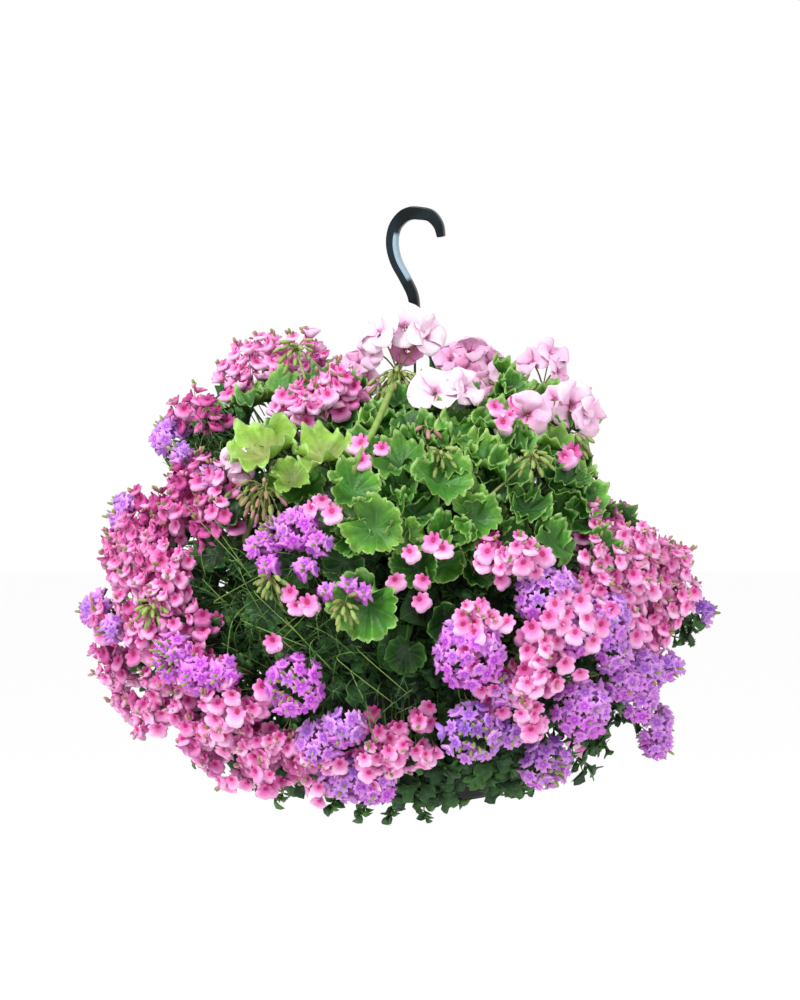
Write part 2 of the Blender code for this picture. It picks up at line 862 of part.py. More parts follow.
def trailer_route(root, seat, facing, bend):
    """From the root up over the rim, and out to the head."""
    away = Vector((seat.x, seat.y, 0)).normalized()
    points = [root]
    if seat.z < RIM_Z + 60 * MM:
        over = away * (RIM_RADIUS + RIM_PASS_OUT)
        points.append(over + UP * (RIM_Z + RIM_PASS_UP) + bend * 0.5)
    approach = seat - facing * APPROACH
    if approach.xy.length < RIM_RADIUS + WALL_CLEARANCE and seat.z < RIM_Z:
        outside = away * (RIM_RADIUS + WALL_CLEARANCE)
        approach = outside + UP * (approach.z + 10 * MM)
    points += [approach + bend, seat - facing * LAST_STRETCH, seat]
    return points


def trailing_plant(room, name, root, radius, seats, blade_size, rng):
    """Stems from one root to every head of the plant, with leaves along them."""
    pieces = []
    trunk_path = [root - UP * ROOT_DEPTH * 0.9, root + UP * TRAILER_HEIGHT]
    trunk = tube(trunk_path, radius, sides=6)
    room.take(name, trunk)
    pieces.append(trunk)
    stems = []
    for seat, facing in seats:
        share = 0.95 - 0.5 * len(stems) / len(seats)
        start = root + UP * TRAILER_HEIGHT * share

        def route(bend, start=start, seat=seat, facing=facing):
            return trailer_route(start, seat, facing, bend)

        stem, path = bent_clear(
            room, name, facing, route, STEM_RADIUS * 1.2, STEM_RADIUS
        )
        pieces.append(stem)
        stems.append(path)
    pieces += leaves_along(room, name, stems, blade_size, rng)
    return pieces


def leaves_along(room, name, stems, blade_size, rng):
    """Small leaves out of the stems, each turned until it crosses no other plant."""
    leaves = []
    for attempt in range(LEAVES_A_PLANT * 8):
        if len(leaves) == LEAVES_A_PLANT:
            break
        path = stems[attempt % len(stems)]
        along = rng.uniform(0.35, 0.95) * (len(path) - 1)
        index = int(along)
        place = path[index].lerp(path[index + 1], along - index)
        out = outward(place / MM)
        side = rng.uniform(-1, 1) * UP.cross(out)
        reach = (out + side + rng.uniform(-0.3, 0.5) * UP).normalized()
        blade = small_blade(blade_size)
        upper = (UP + 0.8 * out).normalized()
        turn = frame_at(place, upper, reach)
        bmesh.ops.transform(blade, matrix=turn, verts=blade.verts[:])
        if room.is_clear(name, blade):
            room.take(name + " blade", blade)
            leaves.append(blade)
        else:
            blade.free()
    return leaves


def pelargonium_branches(root):
    """A trunk out of the soil, branches spread towards the rim and one upright, as paths."""
    away = Vector((root.x, root.y, 0)).normalized()
    foot = root - UP * ROOT_DEPTH * 0.9
    fork = root + away * FORK_OUT + UP * FORK_UP
    branches = [([foot, root + UP * 20 * MM, fork], PELARGONIUM_TRUNK, 4 * MM)]
    for spread, rise, below in BRANCHES:
        aim = Matrix.Rotation(math.radians(spread), 3, "Z") @ away
        start = fork - UP * below * MM - away * below * 0.16 * MM
        tip = fork + aim * BRANCH_REACH + UP * rise * MM
        branches.append(([start, start.lerp(tip, 0.5), tip], BRANCH_RADIUS, 2 * MM))
    middle, top = UPRIGHT_RISES
    upright = [fork - UP * 8 * MM, fork + away * 5 * MM + UP * middle]
    upright.append(fork + away * 8 * MM + UP * top)
    branches.append((upright, BRANCH_RADIUS, 2 * MM))
    return branches


def nearest_on(paths, place, rng):
    """A point on the paths near a place, a little apart from the ones found before."""
    found = []
    for path in paths:
        for a, b in zip(path, path[1:]):
            found.append(a.lerp(b, rng.uniform(0.05, 0.95)))
    return min(found, key=lambda point: (point - place).length)


def draw_stalk(bm, face, path):
    """Draw a small face out along a path, turning it as the path turns."""
    facing = face.normal.copy()
    place = face.calc_center_median()
    for target in path:
        along = (target - place).normalized()
        face = bmesh.ops.extrude_discrete_faces(bm, faces=[face])["faces"][0]
        turn = facing.rotation_difference(along).to_matrix()
        bmesh.ops.rotate(bm, cent=place, matrix=turn, verts=face.verts[:])
        bmesh.ops.translate(bm, vec=target - place, verts=face.verts[:])
        facing = along
        place = target


def pelargonium_leaf(paths, place, facing, breadth, rng):
    """A blade at its place, with a stalk from its underside to the nearest branch."""
    start = nearest_on(paths, place - facing * 55 * MM - UP * 20 * MM, rng)
    away = place - start
    bm = pelargonium_blade(breadth, rng)
    under = [face for face in bm.faces if face.normal.z < -0.3]
    joint_face = max(under, key=lambda face: face.calc_center_median().x)
    joint = joint_face.calc_center_median() * STALK_SHARE
    shrunk = bmesh.ops.extrude_discrete_faces(bm, faces=[joint_face])["faces"][0]
    for vert in shrunk.verts:
        vert.co = joint + (vert.co - joint) * STALK_SHARE / 2
        vert.co.z -= BLADE / 2
    turn = frame_at(place, facing, away)
    bmesh.ops.transform(bm, matrix=turn, verts=bm.verts[:])
    bm.normal_update()
    elbow = start.lerp(place, 0.6) - facing * 12 * MM + UP * 4 * MM
    draw_stalk(bm, shrunk, [elbow, start])
    return bm


def leaf_rows():
    """The leaves that show in front, then a spiral of them over the top and the back."""
    for across, down, breadth, stand_off, upward in PELARGONIUM_LEAVES:
        place, facing = on_mass(across, down, stand_off, 1)
        facing = facing.lerp(UP, upward).normalized()
        yield place, (facing - 0.15 * Vector((0, 1, 0))).normalized(), breadth * MM
    first_tilt, tilt_range = BACK_TILTS
    for index in range(BACK_LEAVES):
        share = (index + 0.5) / BACK_LEAVES
        tilt = math.radians(first_tilt + tilt_range * share)
        round_back = index * GOLDEN_ANGLE % math.tau - math.pi
        turn = math.pi / 2 + round_back * BACK_SPREAD
        facing = Vector(
            (
                math.sin(tilt) * math.cos(turn),
                math.sin(tilt) * math.sin(turn),
                math.cos(tilt),
            )
        )
        place = MASS_MIDDLE.copy()
        for axis in range(3):
            place[axis] += facing[axis] * MASS_HALF[axis] * BACK_OUT
        facing = facing.lerp(UP, 0.3).normalized()
        yield place * MM, facing, BACK_LEAF_BREADTH * MM


def pelargonium_plants(room, roots, seats):
    """Every pelargonium plant's pieces: branches, peduncles and stalked leaves."""
    rng = random.Random(7)
    plants = {}
    for name in (n for n in roots if n.startswith("pelargonium")):
        branches = pelargonium_branches(roots[name][0])
        pieces = [tube(path, big, small, sides=6) for path, big, small in branches]
        for piece in pieces:
            room.take(name, piece)
        plants[name] = (pieces, [path for path, _, _ in branches])
    for seat, facing in seats:
        name = nearest_plant(roots, "pelargonium", seat)
        pieces, paths = plants[name]
        start = nearest_on(paths, seat - facing * 90 * MM - UP * 30 * MM, rng)

        def route(bend, start=start, seat=seat, facing=facing):
            below = seat - facing * PEDUNCLE_APPROACH + bend
            return [start, below, seat - facing * LAST_STRETCH, seat]

        stalk, _ = bent_clear(
            room, name, facing, route, PEDUNCLE_RADIUS, PEDUNCLE_RADIUS * 0.8
        )
        pieces.append(stalk)
    return plants


def add_pelargonium_leaves(room, roots, plants):
    """Hang the leaves, each drawn in or out or turned until it crosses no other plant."""
    for number, (place, facing, breadth) in enumerate(leaf_rows()):
        name = nearest_plant(roots, "pelargonium", place)
        pieces, paths = plants[name]
        for attempt in range(LEAF_TRIES):
            rng = random.Random(f"{number}-{attempt}")
            spot = place + facing * LEAF_SHIFTS[attempt % len(LEAF_SHIFTS)] * MM
            if attempt:
                spot += Vector((rng.uniform(-5, 5), 0, rng.uniform(-5, 5))) * MM
            size = breadth * (1 - LEAF_SHRINK * attempt / LEAF_TRIES)
            leaf = pelargonium_leaf(paths, spot, facing, size, rng)
            crossable = (name + " leaf",) if attempt > LEAF_TRIES * LEAF_STRICT else ()
            if room.is_clear(name, leaf, crossable):
                room.take(name + " leaf", leaf)
                pieces.append(leaf)
                break
            leaf.free()


def verbena_head(size, rng):
    widen, stretch, draw, throat = VERBENA_FORM
    return floret_head(size * widen, stretch, draw, throat, rng)


def twinspur_spray(size, rng):
    widen, stretch, draw, throat = TWINSPUR_FORM
    return floret_head(size * widen, stretch, draw, throat, rng)


def main():
    clear_scene()
    basket = new_collection("flower_hanging_basket")
    cutters = new_collection("cutters")
    hook_plastic = make_material("hook plastic", (0.012, 0.022, 0.027), 0.35)
    pot_plastic = make_material("pot plastic", (0.014, 0.014, 0.013), 0.5)
    wire = make_material("coated wire", (0.02, 0.03, 0.028), 0.4)
    soil = make_material("potting soil", (0.05, 0.03, 0.02), 0.95)
    green = make_material("pelargonium leaf", (0.06, 0.24, 0.04), 0.5)
    trailing_green = make_material("trailing leaf", (0.08, 0.2, 0.05), 0.55)
    pale_pink = make_material("pelargonium petal", (0.9, 0.65, 0.84), 0.6)
    lavender = make_material("verbena petal", (0.5, 0.14, 0.72), 0.6)
    rose = make_material("twinspur petal", (0.8, 0.16, 0.38), 0.6)

    room = Room()
    room.take_object(build_hook(hook_plastic, basket))
    for index, degrees in enumerate(WIRE_HEADINGS, 1):
        room.take_object(build_wire(index, degrees, wire, basket))
    room.take_object(build_pot(pot_plastic, basket))
    room.take_object(build_soil(soil, basket, cutters))

    roots = root_places()
    umbels = build_heads(room, "pelargonium_umbel", UMBELS, umbel_head, pale_pink, basket)
    verbena = build_heads(
        room, "verbena_head", VERBENA_HEADS, verbena_head, lavender, basket
    )
    twinspur = build_heads(
        room, "twinspur_spray", TWINSPUR_SPRAYS, twinspur_spray, rose, basket
    )

    plants = pelargonium_plants(room, roots, umbels)
    trailers = {}
    for kind, seats, blade in (
        ("verbena", verbena, VERBENA_LEAF),
        ("twinspur", twinspur, TWINSPUR_LEAF),
    ):
        for name in (n for n in roots if n.startswith(kind)):
            own = [row for row in seats if nearest_plant(roots, kind, row[0]) == name]
            place, radius = roots[name]
            rng = random.Random(name)
            trailers[name] = trailing_plant(room, name, place, radius, own, blade, rng)
    add_pelargonium_leaves(room, roots, plants)

    for name, (pieces, _) in plants.items():
        joined(name, pieces, green, basket)
    for name, pieces in trailers.items():
        joined(name, pieces, trailing_green, basket)


main()
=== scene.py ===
# %% [markdown]
# # Dressing a planted hanging basket
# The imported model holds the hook, wires, pot, soil, plants and flower heads of a hanging
# basket at their real size. This lesson gives each of them its finished shape and surface.
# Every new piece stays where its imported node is, so loading the frame comes first.

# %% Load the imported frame
import math
import random

import bmesh
import bpy
from mathutils import Matrix, Vector


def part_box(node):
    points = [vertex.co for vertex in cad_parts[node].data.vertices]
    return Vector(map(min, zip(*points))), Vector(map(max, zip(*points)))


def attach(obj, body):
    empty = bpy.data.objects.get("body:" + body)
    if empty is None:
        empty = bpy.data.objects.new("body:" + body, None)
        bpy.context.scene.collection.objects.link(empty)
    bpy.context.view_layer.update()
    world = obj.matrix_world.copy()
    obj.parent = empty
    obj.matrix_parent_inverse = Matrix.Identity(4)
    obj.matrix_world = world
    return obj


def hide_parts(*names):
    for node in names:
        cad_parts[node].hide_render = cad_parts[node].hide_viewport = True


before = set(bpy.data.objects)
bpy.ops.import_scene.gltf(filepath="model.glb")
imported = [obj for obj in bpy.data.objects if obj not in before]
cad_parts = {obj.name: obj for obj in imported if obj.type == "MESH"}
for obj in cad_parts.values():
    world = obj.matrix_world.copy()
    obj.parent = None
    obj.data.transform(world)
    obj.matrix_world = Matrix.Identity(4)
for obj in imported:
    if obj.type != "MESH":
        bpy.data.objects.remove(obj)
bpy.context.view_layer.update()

MM = 0.001
UP = Vector((0, 0, 1))
GOLDEN_ANGLE = math.radians(137.5)
print("packed nodes:", len(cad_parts))

# %% [markdown]
# ## Where things grow
# From a few steps away the planting is nearly an ellipsoid. A place on it is easiest to give
# as it looks from the front: so far across from the hook's seat, and so far down. These
# functions turn such a pair into a point in space, and say which way the mass faces there.

# %% The planted mass and the view of it
MASS_MIDDLE = Vector((-15, 0, -385))
MASS_HALF = Vector((298, 262, 262))
MASS_HALF_BELOW = 215
VIEW_DISTANCE = 3000
VIEW_HEIGHT = 1000
VIEW_TILT = math.radians(5)
VIEW_AIM = Vector((-15, 0, -279))
VIEW_TOWARDS = Vector((0, -math.cos(VIEW_TILT), math.sin(VIEW_TILT)))
VIEW_UPWARDS = Vector((0, math.sin(VIEW_TILT), math.cos(VIEW_TILT)))
# A gap in the foliage in front shows the pot
GAP_ACROSS, GAP_DOWN = -32, 462
GAP_HALF_WIDE, GAP_HALF_HIGH = 54, 32
# A place on the mass and its half sizes there depend on each other: so many rounds settle them
SETTLING_ROUNDS = 6
# Any point along a direction from the middle will do, since `lifted` moves it to the mass
ANY_REACH = 100


def mass_half(point):
    """The half sizes of the mass on the point's side of its middle."""
    half_up = MASS_HALF.z if point.z > MASS_MIDDLE.z else MASS_HALF_BELOW
    return Vector((MASS_HALF.x, MASS_HALF.y, half_up))


def outward(point):
    """The way the mass faces at a point in mm."""
    half = mass_half(point)
    away = point - MASS_MIDDLE
    return Vector([away[i] / half[i] ** 2 for i in range(3)]).normalized()


def seen_place(across, down, reach):
    """The point that looks this far across and down, and lies `reach` towards the viewer."""
    scale = 1 - reach / VIEW_DISTANCE
    sideways = Vector((across - VIEW_AIM.x, 0, 0)) * scale
    rise = VIEW_UPWARDS * (-VIEW_AIM.z - down) * scale
    return VIEW_AIM + sideways + rise + VIEW_TOWARDS * reach


def on_mass(across, down, stand_off=0, side=1):
    """A place in metres that looks this far across and down in mm, and its facing."""
    reach = 0.0
    for _ in range(SETTLING_ROUNDS):
        place = seen_place(across, down, reach)
        half = [size + stand_off for size in mass_half(place)]
        off = [(place[i] - MASS_MIDDLE[i]) / half[i] for i in (0, 2)]
        reach = side * half[1] * math.sqrt(max(0.0, 1 - off[0] ** 2 - off[1] ** 2))
    place = seen_place(across, down, reach)
    return place * MM, outward(place)


print("front of the mass:", [round(c, 3) for c in on_mass(0, 385)[0]])


# %% Places, facings and directions
def lifted(point, stand_off):
    """A point in metres moved straight out from the middle to this far off the mass."""
    half = mass_half(point / MM)
    away = point / MM - MASS_MIDDLE
    reach = math.sqrt(sum((away[i] / half[i]) ** 2 for i in range(3)))
    place = MASS_MIDDLE + away / reach
    facing = outward(place)
    return (place + facing * stand_off) * MM, facing


def off_middle(way, stand_off):
    """The place and facing that lie this way from the middle, this far off the mass."""
    return lifted((MASS_MIDDLE + way * ANY_REACH) * MM, stand_off)


def frame_at(place, facing, along=UP):
    """A placement whose Z axis is `facing` and whose X axis leans towards `along`."""
    z = facing.normalized()
    x = along - along.dot(z) * z
    # Where the two are nearly in line, the world's X takes the place of `along`
    if x.length < 0.05:
        x = Vector((1, 0, 0)) - z.x * z
    x.normalize()
    turn = Matrix((x, z.cross(x), z)).transposed().to_4x4()
    return Matrix.Translation(place) @ turn


def dome_way(share, around, widest):
    """A direction about +Z: share 0 is the pole, share 1 lies `widest` degrees from it."""
    tilt = math.acos(1 - share * (1 - math.cos(math.radians(widest))))
    level = math.sin(tilt)
    return Vector((level * math.cos(around), level * math.sin(around), math.cos(tilt)))


def level_way(degrees):
    """The level direction at this angle round the basket, counted from its right side."""
    turn = math.radians(degrees)
    return Vector((math.cos(turn), math.sin(turn), 0))


def in_gap(spot):
    """Whether a place lies in the gap in the foliage through which the pot shows."""
    across, down = spot.x / MM - GAP_ACROSS, -spot.z / MM - GAP_DOWN
    return spot.y < 0 and (across / GAP_HALF_WIDE) ** 2 + (down / GAP_HALF_HIGH) ** 2 < 1


def any_way(rng):
    """A random direction of up to about unit length."""
    return Vector([rng.uniform(-1, 1) for _ in range(3)])


print("top of the mass in mm:", round(lifted(UP, 0)[0].z / MM))

# %% [markdown]
# ## Surfaces
# Petals and leaves are pigment seen through thin wet tissue, so their colour changes along
# the tissue and from one flower to the next. Each shape therefore carries three numbers on
# its points: how far across it they lie, how far round, and the tone of that one copy. The
# materials read them, which keeps a pattern on its petal wherever the petal goes.


# %% Colours and nodes
def linear(code):
    """An sRGB hex colour as linear red, green, blue and alpha."""
    parts = [int(code[i : i + 2], 16) / 255 for i in (1, 3, 5)]
    curve = [p / 12.92 if p <= 0.04045 else ((p + 0.055) / 1.055) ** 2.4 for p in parts]
    return (*curve, 1.0)


def grain(size):
    """The noise scale whose grains are about this many millimetres wide."""
    return 1 / (size * MM)


def add_node(tree, kind, settings, links=()):
    """Add a node, set its properties, inputs or colour stops, and link its inputs."""
    node = tree.nodes.new("ShaderNode" + kind)
    for key, value in settings.items():
        if key == "stops":
            elements = node.color_ramp.elements
            while len(elements) < len(value):
                elements.new(1.0)
            for element, (place, colour) in zip(elements, value):
                element.position = place
                element.color = linear(colour)
        elif isinstance(key, str) and hasattr(node, key):
            setattr(node, key, value)
        else:
            node.inputs[key].default_value = value
    for key, socket in dict(links).items():
        tree.links.new(socket, node.inputs[key])
    return node


def start_material(name, roughness, **values):
    """A named material with its shader's own values set, and its node tree."""
    made = bpy.data.materials.new(name)
    made.use_nodes = True
    shader = made.node_tree.nodes["Principled BSDF"]
    shader.inputs["Roughness"].default_value = roughness
    for key, value in values.items():
        shader.inputs[key.replace("_", " ")].default_value = value
    return made, made.node_tree, shader


print("middle grey in linear light:", round(linear("#808080")[0], 3))


# %% Patterns that the materials share
# Where a Mix node of colours has its two colours and its result
MIX_A, MIX_B, MIX_OUT = 6, 7, 2


def carried(tree, name):
    """One of the numbers that the points of a shape carry."""
    return add_node(tree, "Attribute", {"attribute_name": name}).outputs["Fac"]


def blended(tree, share, first, second):
    """Two colours, each a socket or an sRGB code, mixed by a share."""
    settings, links = {"data_type": "RGBA"}, {0: share}
    for key, colour in ((MIX_A, first), (MIX_B, second)):
        if isinstance(colour, str):
            settings[key] = linear(colour)
        else:
            links[key] = colour
    return add_node(tree, "Mix", settings, links).outputs[MIX_OUT]


def toned(tree, tone, colours):
    """A colour that runs through a few evenly spaced ones as the tone goes from 0 to 1."""
    stops = [(i / (len(colours) - 1), colour) for i, colour in enumerate(colours)]
    return add_node(tree, "ValToRGB", {"stops": stops}, {"Fac": tone}).outputs["Color"]


def stepped(tree, value, low, high, most=1.0):
    """A share that rises smoothly from 0 to `most` as a value goes from low to high."""
    settings = {"interpolation_type": "SMOOTHSTEP", "From Min": low, "From Max": high}
    settings["To Max"] = most
    return add_node(tree, "MapRange", settings, {"Value": value}).outputs["Result"]


def brightened(tree, colour, noise, low, high):
    """Lighten and darken a colour between two shares of itself, as a noise goes."""
    # Nearly all of a noise lies between 0.3 and 0.7
    span = {"From Min": 0.3, "From Max": 0.7, "To Min": low, "To Max": high}
    value = add_node(tree, "MapRange", span, {"Value": noise}).outputs["Result"]
    links = {"Color": colour, "Value": value}
    return add_node(tree, "HueSaturation", {}, links).outputs["Color"]


def noise_at(tree, size, detail):
    """Soft noise of a real size, on the object's own coordinates."""
    place = add_node(tree, "TexCoord", {}).outputs["Object"]
    settings = {"Scale": grain(size), "Detail": detail}
    return add_node(tree, "TexNoise", settings, {"Vector": place}).outputs["Fac"]


def bumped(tree, shader, height, strength, distance):
    """Give the shader a bump from a height."""
    settings = {"Strength": strength, "Distance": distance}
    bump = add_node(tree, "Bump", settings, {"Height": height})
    tree.links.new(bump.outputs["Normal"], shader.inputs["Normal"])


print("grains of 9 mm need a noise scale of", round(grain(9)))

# %% [markdown]
# ### Petals
# A petal has a small dark or pale eye, then its own colour, which pales towards the rim.
# Each of the three runs through a few colours by tone, so that flowers differ as they do on
# one plant. Fine streaks run out along the petal, as its veins do.


# %% Petal materials
# So many streaks round a flower are about a millimetre apart, as its veins are
PETAL_STREAKS = 44.0


def petal_material(name, eye_colours, inner_colours, rim_colours, eye):
    """Fresh petal tissue: an eye of this size, and a colour that changes out to the rim."""
    made, tree, shader = start_material(name, 0.6, Specular_IOR_Level=0.25)
    across, turn, tone = [carried(tree, layer) for layer in ("across", "turn", "tone")]
    inner = toned(tree, tone, inner_colours)
    rim = toned(tree, tone, rim_colours)
    petal = blended(tree, stepped(tree, across, eye, 1.04), inner, rim)
    throat = toned(tree, tone, eye_colours)
    whole = blended(tree, stepped(tree, across, eye * 0.7, eye * 1.35), throat, petal)
    settings = {"operation": "MULTIPLY", 1: PETAL_STREAKS}
    angle = add_node(tree, "Math", settings, {0: turn}).outputs[0]
    settings = {"noise_dimensions": "1D", "Scale": 1.0}
    streaks = add_node(tree, "TexNoise", settings, {"W": angle}).outputs["Fac"]
    streaked = brightened(tree, whole, streaks, 0.9, 1.06)
    colour = brightened(tree, streaked, noise_at(tree, 9, 3.0), 0.94, 1.05)
    tree.links.new(colour, shader.inputs["Base Color"])
    return made


# Twinspur petals are matt and pink, with a rose throat
TWINSPUR_PETAL = petal_material(
    "twinspur petal",
    ("#C83C78", "#B02C66", "#86183F"),
    ("#EA7CC0", "#DA5AA8", "#A6307A"),
    ("#FED4F4", "#FABCE9", "#D25EA6"),
    0.15,
)
# Verbena petals run from magenta-violet through lavender to blue-violet, with a pale eye
VERBENA_PETAL = petal_material(
    "verbena petal",
    ("#C86CC8", "#BC80D0", "#8C60B8"),
    ("#A22CBC", "#9E50C4", "#6838A6"),
    ("#F08CF2", "#EEAEF6", "#B680E2"),
    0.12,
)
# Pelargonium petals here are nearly white, flushed with pink towards the foot
PELARGONIUM_PETAL = petal_material(
    "pelargonium petal",
    ("#D898C0", "#D078AC", "#C04C88"),
    ("#EECCE2", "#E8ACD4", "#E078B4"),
    ("#F4E0EE", "#F0C4E2", "#EA98CA"),
    0.16,
)
print("petal materials:", TWINSPUR_PETAL.name, VERBENA_PETAL.name, PELARGONIUM_PETAL.name)

# %% [markdown]
# ### Leaves and stems
# A pelargonium leaf is downy and soft. It has veins that fan out from its stalk, a darker
# zone round its middle and a thin pale margin. Its tone runs from dark leaves, painted dark
# as shade where they lie deep in the bush, to young lime ones. The veins come from the
# point's turn round the stalk, so they need no picture.


# %% Leaf and stem materials
def leaf_material(name, blades, zones, margin, veins, roughness):
    """A living leaf with its own tone, a zone round its middle, veins and a margin."""
    made, tree, shader = start_material(name, roughness, Specular_IOR_Level=0.4)
    across, turn, tone = [carried(tree, layer) for layer in ("across", "turn", "tone")]
    # The outer half of the blade is a little lighter
    settings = {"operation": "ADD", "use_clamp": True}
    links = {0: tone, 1: stepped(tree, across, 0.45, 1.0, 0.16)}
    light = add_node(tree, "Math", settings, links).outputs[0]
    middle = stepped(tree, across, 0.8, 0.25, 0.8)
    base = blended(tree, middle, toned(tree, light, blades), toned(tree, tone, zones))
    settings = {"operation": "MULTIPLY", 1: math.pi * veins}
    angle = add_node(tree, "Math", settings, {0: turn}).outputs[0]
    wave = add_node(tree, "Math", {"operation": "COSINE"}, {0: angle}).outputs[0]
    off_vein = add_node(tree, "Math", {"operation": "ABSOLUTE"}, {0: wave}).outputs[0]
    veined = blended(tree, stepped(tree, off_vein, 0.12, 0.0, 0.16), base, margin)
    # Painted shade: the pale margin fades on the dark leaves, which lie in the shade
    edge = {0: stepped(tree, across, 0.84, 1.0, 0.66), 1: stepped(tree, tone, 0.05, 0.45)}
    share = add_node(tree, "Math", {"operation": "MULTIPLY"}, edge).outputs[0]
    edged = blended(tree, share, veined, margin)
    colour = brightened(tree, edged, noise_at(tree, 18, 3.0), 0.7, 1.25)
    tree.links.new(colour, shader.inputs["Base Color"])
    # The blade is quilted between its small veins, about 5 mm apart
    bumped(tree, shader, noise_at(tree, 5, 3.0), 0.8, 0.0016)
    return made


PELARGONIUM_LEAF = leaf_material(
    "pelargonium leaf",
    ("#112C0B", "#286218", "#508E2C", "#8AB244"),
    ("#0C2209", "#184611", "#2F681C", "#868A4C"),
    "#B2D682",
    7,
    0.48,
)
VERBENA_DARK = ("#12290F", "#1E4620", "#34642A")
VERBENA_LEAF = leaf_material(
    "verbena leaf", ("#16321A", "#275424", "#487C34"), VERBENA_DARK, "#54843C", 1, 0.6
)
TWINSPUR_DARK = ("#15321A", "#265626", "#528838")
TWINSPUR_LEAF = leaf_material(
    "twinspur leaf", ("#1A4020", "#326A2C", "#6C9E42"), TWINSPUR_DARK, "#70A048", 1, 0.55
)


def stem_material(name, colours):
    """A soft stem or bud whose tone runs through a few colours."""
    made, tree, shader = start_material(name, 0.5, Specular_IOR_Level=0.35)
    base = toned(tree, carried(tree, "tone"), colours)
    colour = brightened(tree, base, noise_at(tree, 8, 3.0), 0.8, 1.15)
    tree.links.new(colour, shader.inputs["Base Color"])
    return made


STEM = stem_material("green stem", ("#2A4C1E", "#547C34", "#94AC56"))
BUD = stem_material("flower bud", ("#92A85A", "#7E8848", "#A8786C", "#D89CB4"))
print("leaf materials:", PELARGONIUM_LEAF.name, VERBENA_LEAF.name, TWINSPUR_LEAF.name)

# %% [markdown]
# ### Plastic, wire and soil
# The hook and pot are moulded polypropylene: dark all through, smooth, with a broad soft
# highlight, and a pale painted highlight along the hook's inner side. The pot has stood
# outdoors, so dust dulls it in patches. Peat has no gloss.


# %% Materials of the basket itself
def plastic_material(name, colour, dusty, roughness, dust):
    """Moulded polypropylene with a film of dust in patches, and a painted highlight strip."""
    made, tree, shader = start_material(name, roughness, IOR=1.49, Specular_IOR_Level=0.2)
    share = stepped(tree, noise_at(tree, 36, 5.0), 0.42, 0.72, dust)
    base = blended(tree, share, colour, dusty)
    # The painted highlight lies where the points carry a high `across`, as on the hook's inner side
    highlight_share = stepped(tree, carried(tree, "across"), 0.55, 0.72, 0.85)
    strip = blended(tree, highlight_share, base, PAINTED_HIGHLIGHT)
    tree.links.new(strip, shader.inputs["Base Color"])
    bumped(tree, shader, noise_at(tree, 1.2, 2.0), 0.15, 0.0003)
    return made


# The colour of the painted highlight on the hook's inner side
PAINTED_HIGHLIGHT = "#9CB8C8"
HOOK_PLASTIC = plastic_material("moulded hook plastic", "#070C0E", "#2C4450", 0.24, 0.3)
POT_PLASTIC = plastic_material("moulded pot plastic", "#0D0E0B", "#24231E", 0.5, 0.4)
WIRE_COAT = plastic_material("coated steel wire", "#141C1A", "#343C38", 0.35, 0.3)


def soil_material():
    """Dark moist peat with paler fibres."""
    made, tree, shader = start_material("peat potting mix", 0.95, Specular_IOR_Level=0.2)
    crumbs = noise_at(tree, 4, 6.0)
    stops = [(0.35, "#1C120C"), (0.6, "#3A281C"), (0.75, "#6E5640")]
    colour = add_node(tree, "ValToRGB", {"stops": stops}, {"Fac": crumbs}).outputs["Color"]
    tree.links.new(colour, shader.inputs["Base Color"])
    bumped(tree, shader, crumbs, 0.8, 0.002)
    return made


PEAT = soil_material()
print("basket materials:", HOOK_PLASTIC.name, POT_PLASTIC.name, WIRE_COAT.name, PEAT.name)

# %% [markdown]
# ## Making and copying shapes
# A plant repeats a few shapes many times. Each shape is made once, as rings grown outwards
# from a small disc, and a copy is laid down wherever one grows. The three numbers that the
# materials read are written on the points as layers.

# %% Rings and copies
LAYERS = ("across", "turn", "tone")
# Points closer than this are one point
WELD = 1e-6


def new_shape():
    """An empty bmesh with the layers that the materials read."""
    bm = bmesh.new()
    for name in LAYERS:
        bm.verts.layers.float.new(name)
    return bm


def polar(co):
    """The angle round Z at which a point lies."""
    return math.atan2(co.y, co.x)


def ringed_disc(segments, radii):
    """A flat disc in rings, each grown from the rim of the one inside."""
    bm = new_shape()
    bmesh.ops.create_circle(bm, cap_ends=True, cap_tris=True, segments=segments, radius=radii[0])
    rim = [edge for edge in bm.edges if edge.is_boundary]
    for inner, outer in zip(radii, radii[1:]):
        grown = bmesh.ops.extrude_edge_only(bm, edges=rim)["geom"]
        verts = [part for part in grown if isinstance(part, bmesh.types.BMVert)]
        bmesh.ops.scale(bm, vec=[outer / inner] * 3, verts=verts)
        rim = [edge for edge in bm.edges if edge.is_boundary]
    across = bm.verts.layers.float["across"]
    turn = bm.verts.layers.float["turn"]
    for vert in bm.verts:
        vert[across] = vert.co.length / radii[-1]
        vert[turn] = polar(vert.co) / math.tau + 0.5
    return bm


def close_behind(bm, point):
    """Close an open shape from its rim back to a point, as a flower narrows to its tube."""
    rim = [edge for edge in bm.edges if edge.is_boundary]
    grown = bmesh.ops.extrude_edge_only(bm, edges=rim)["geom"]
    verts = [part for part in grown if isinstance(part, bmesh.types.BMVert)]
    for vert in verts:
        vert.co = point
    bmesh.ops.remove_doubles(bm, verts=verts, dist=WELD)


def template(bm):
    """Turn a bmesh into a mesh to copy, with its faces outwards."""
    bmesh.ops.recalc_face_normals(bm, faces=bm.faces[:])
    mesh = bpy.data.meshes.new("template")
    bm.to_mesh(mesh)
    bm.free()
    return mesh


def add_copy(bm, mesh, matrix, tone):
    """Lay a copy of a template down in a bmesh, with its own tone."""
    copy = mesh.copy()
    copy.transform(matrix)
    tone = min(1.0, max(0.0, tone))
    copy.attributes["tone"].data.foreach_set("value", [tone] * len(copy.vertices))
    bm.from_mesh(copy)
    bpy.data.meshes.remove(copy)


print("numbers on every point:", LAYERS)

# %% [markdown]
# Stems are curves with a round bevel, which is the quickest way to a smooth tube along a
# path. They become meshes at once, because a curve can't carry the tone.


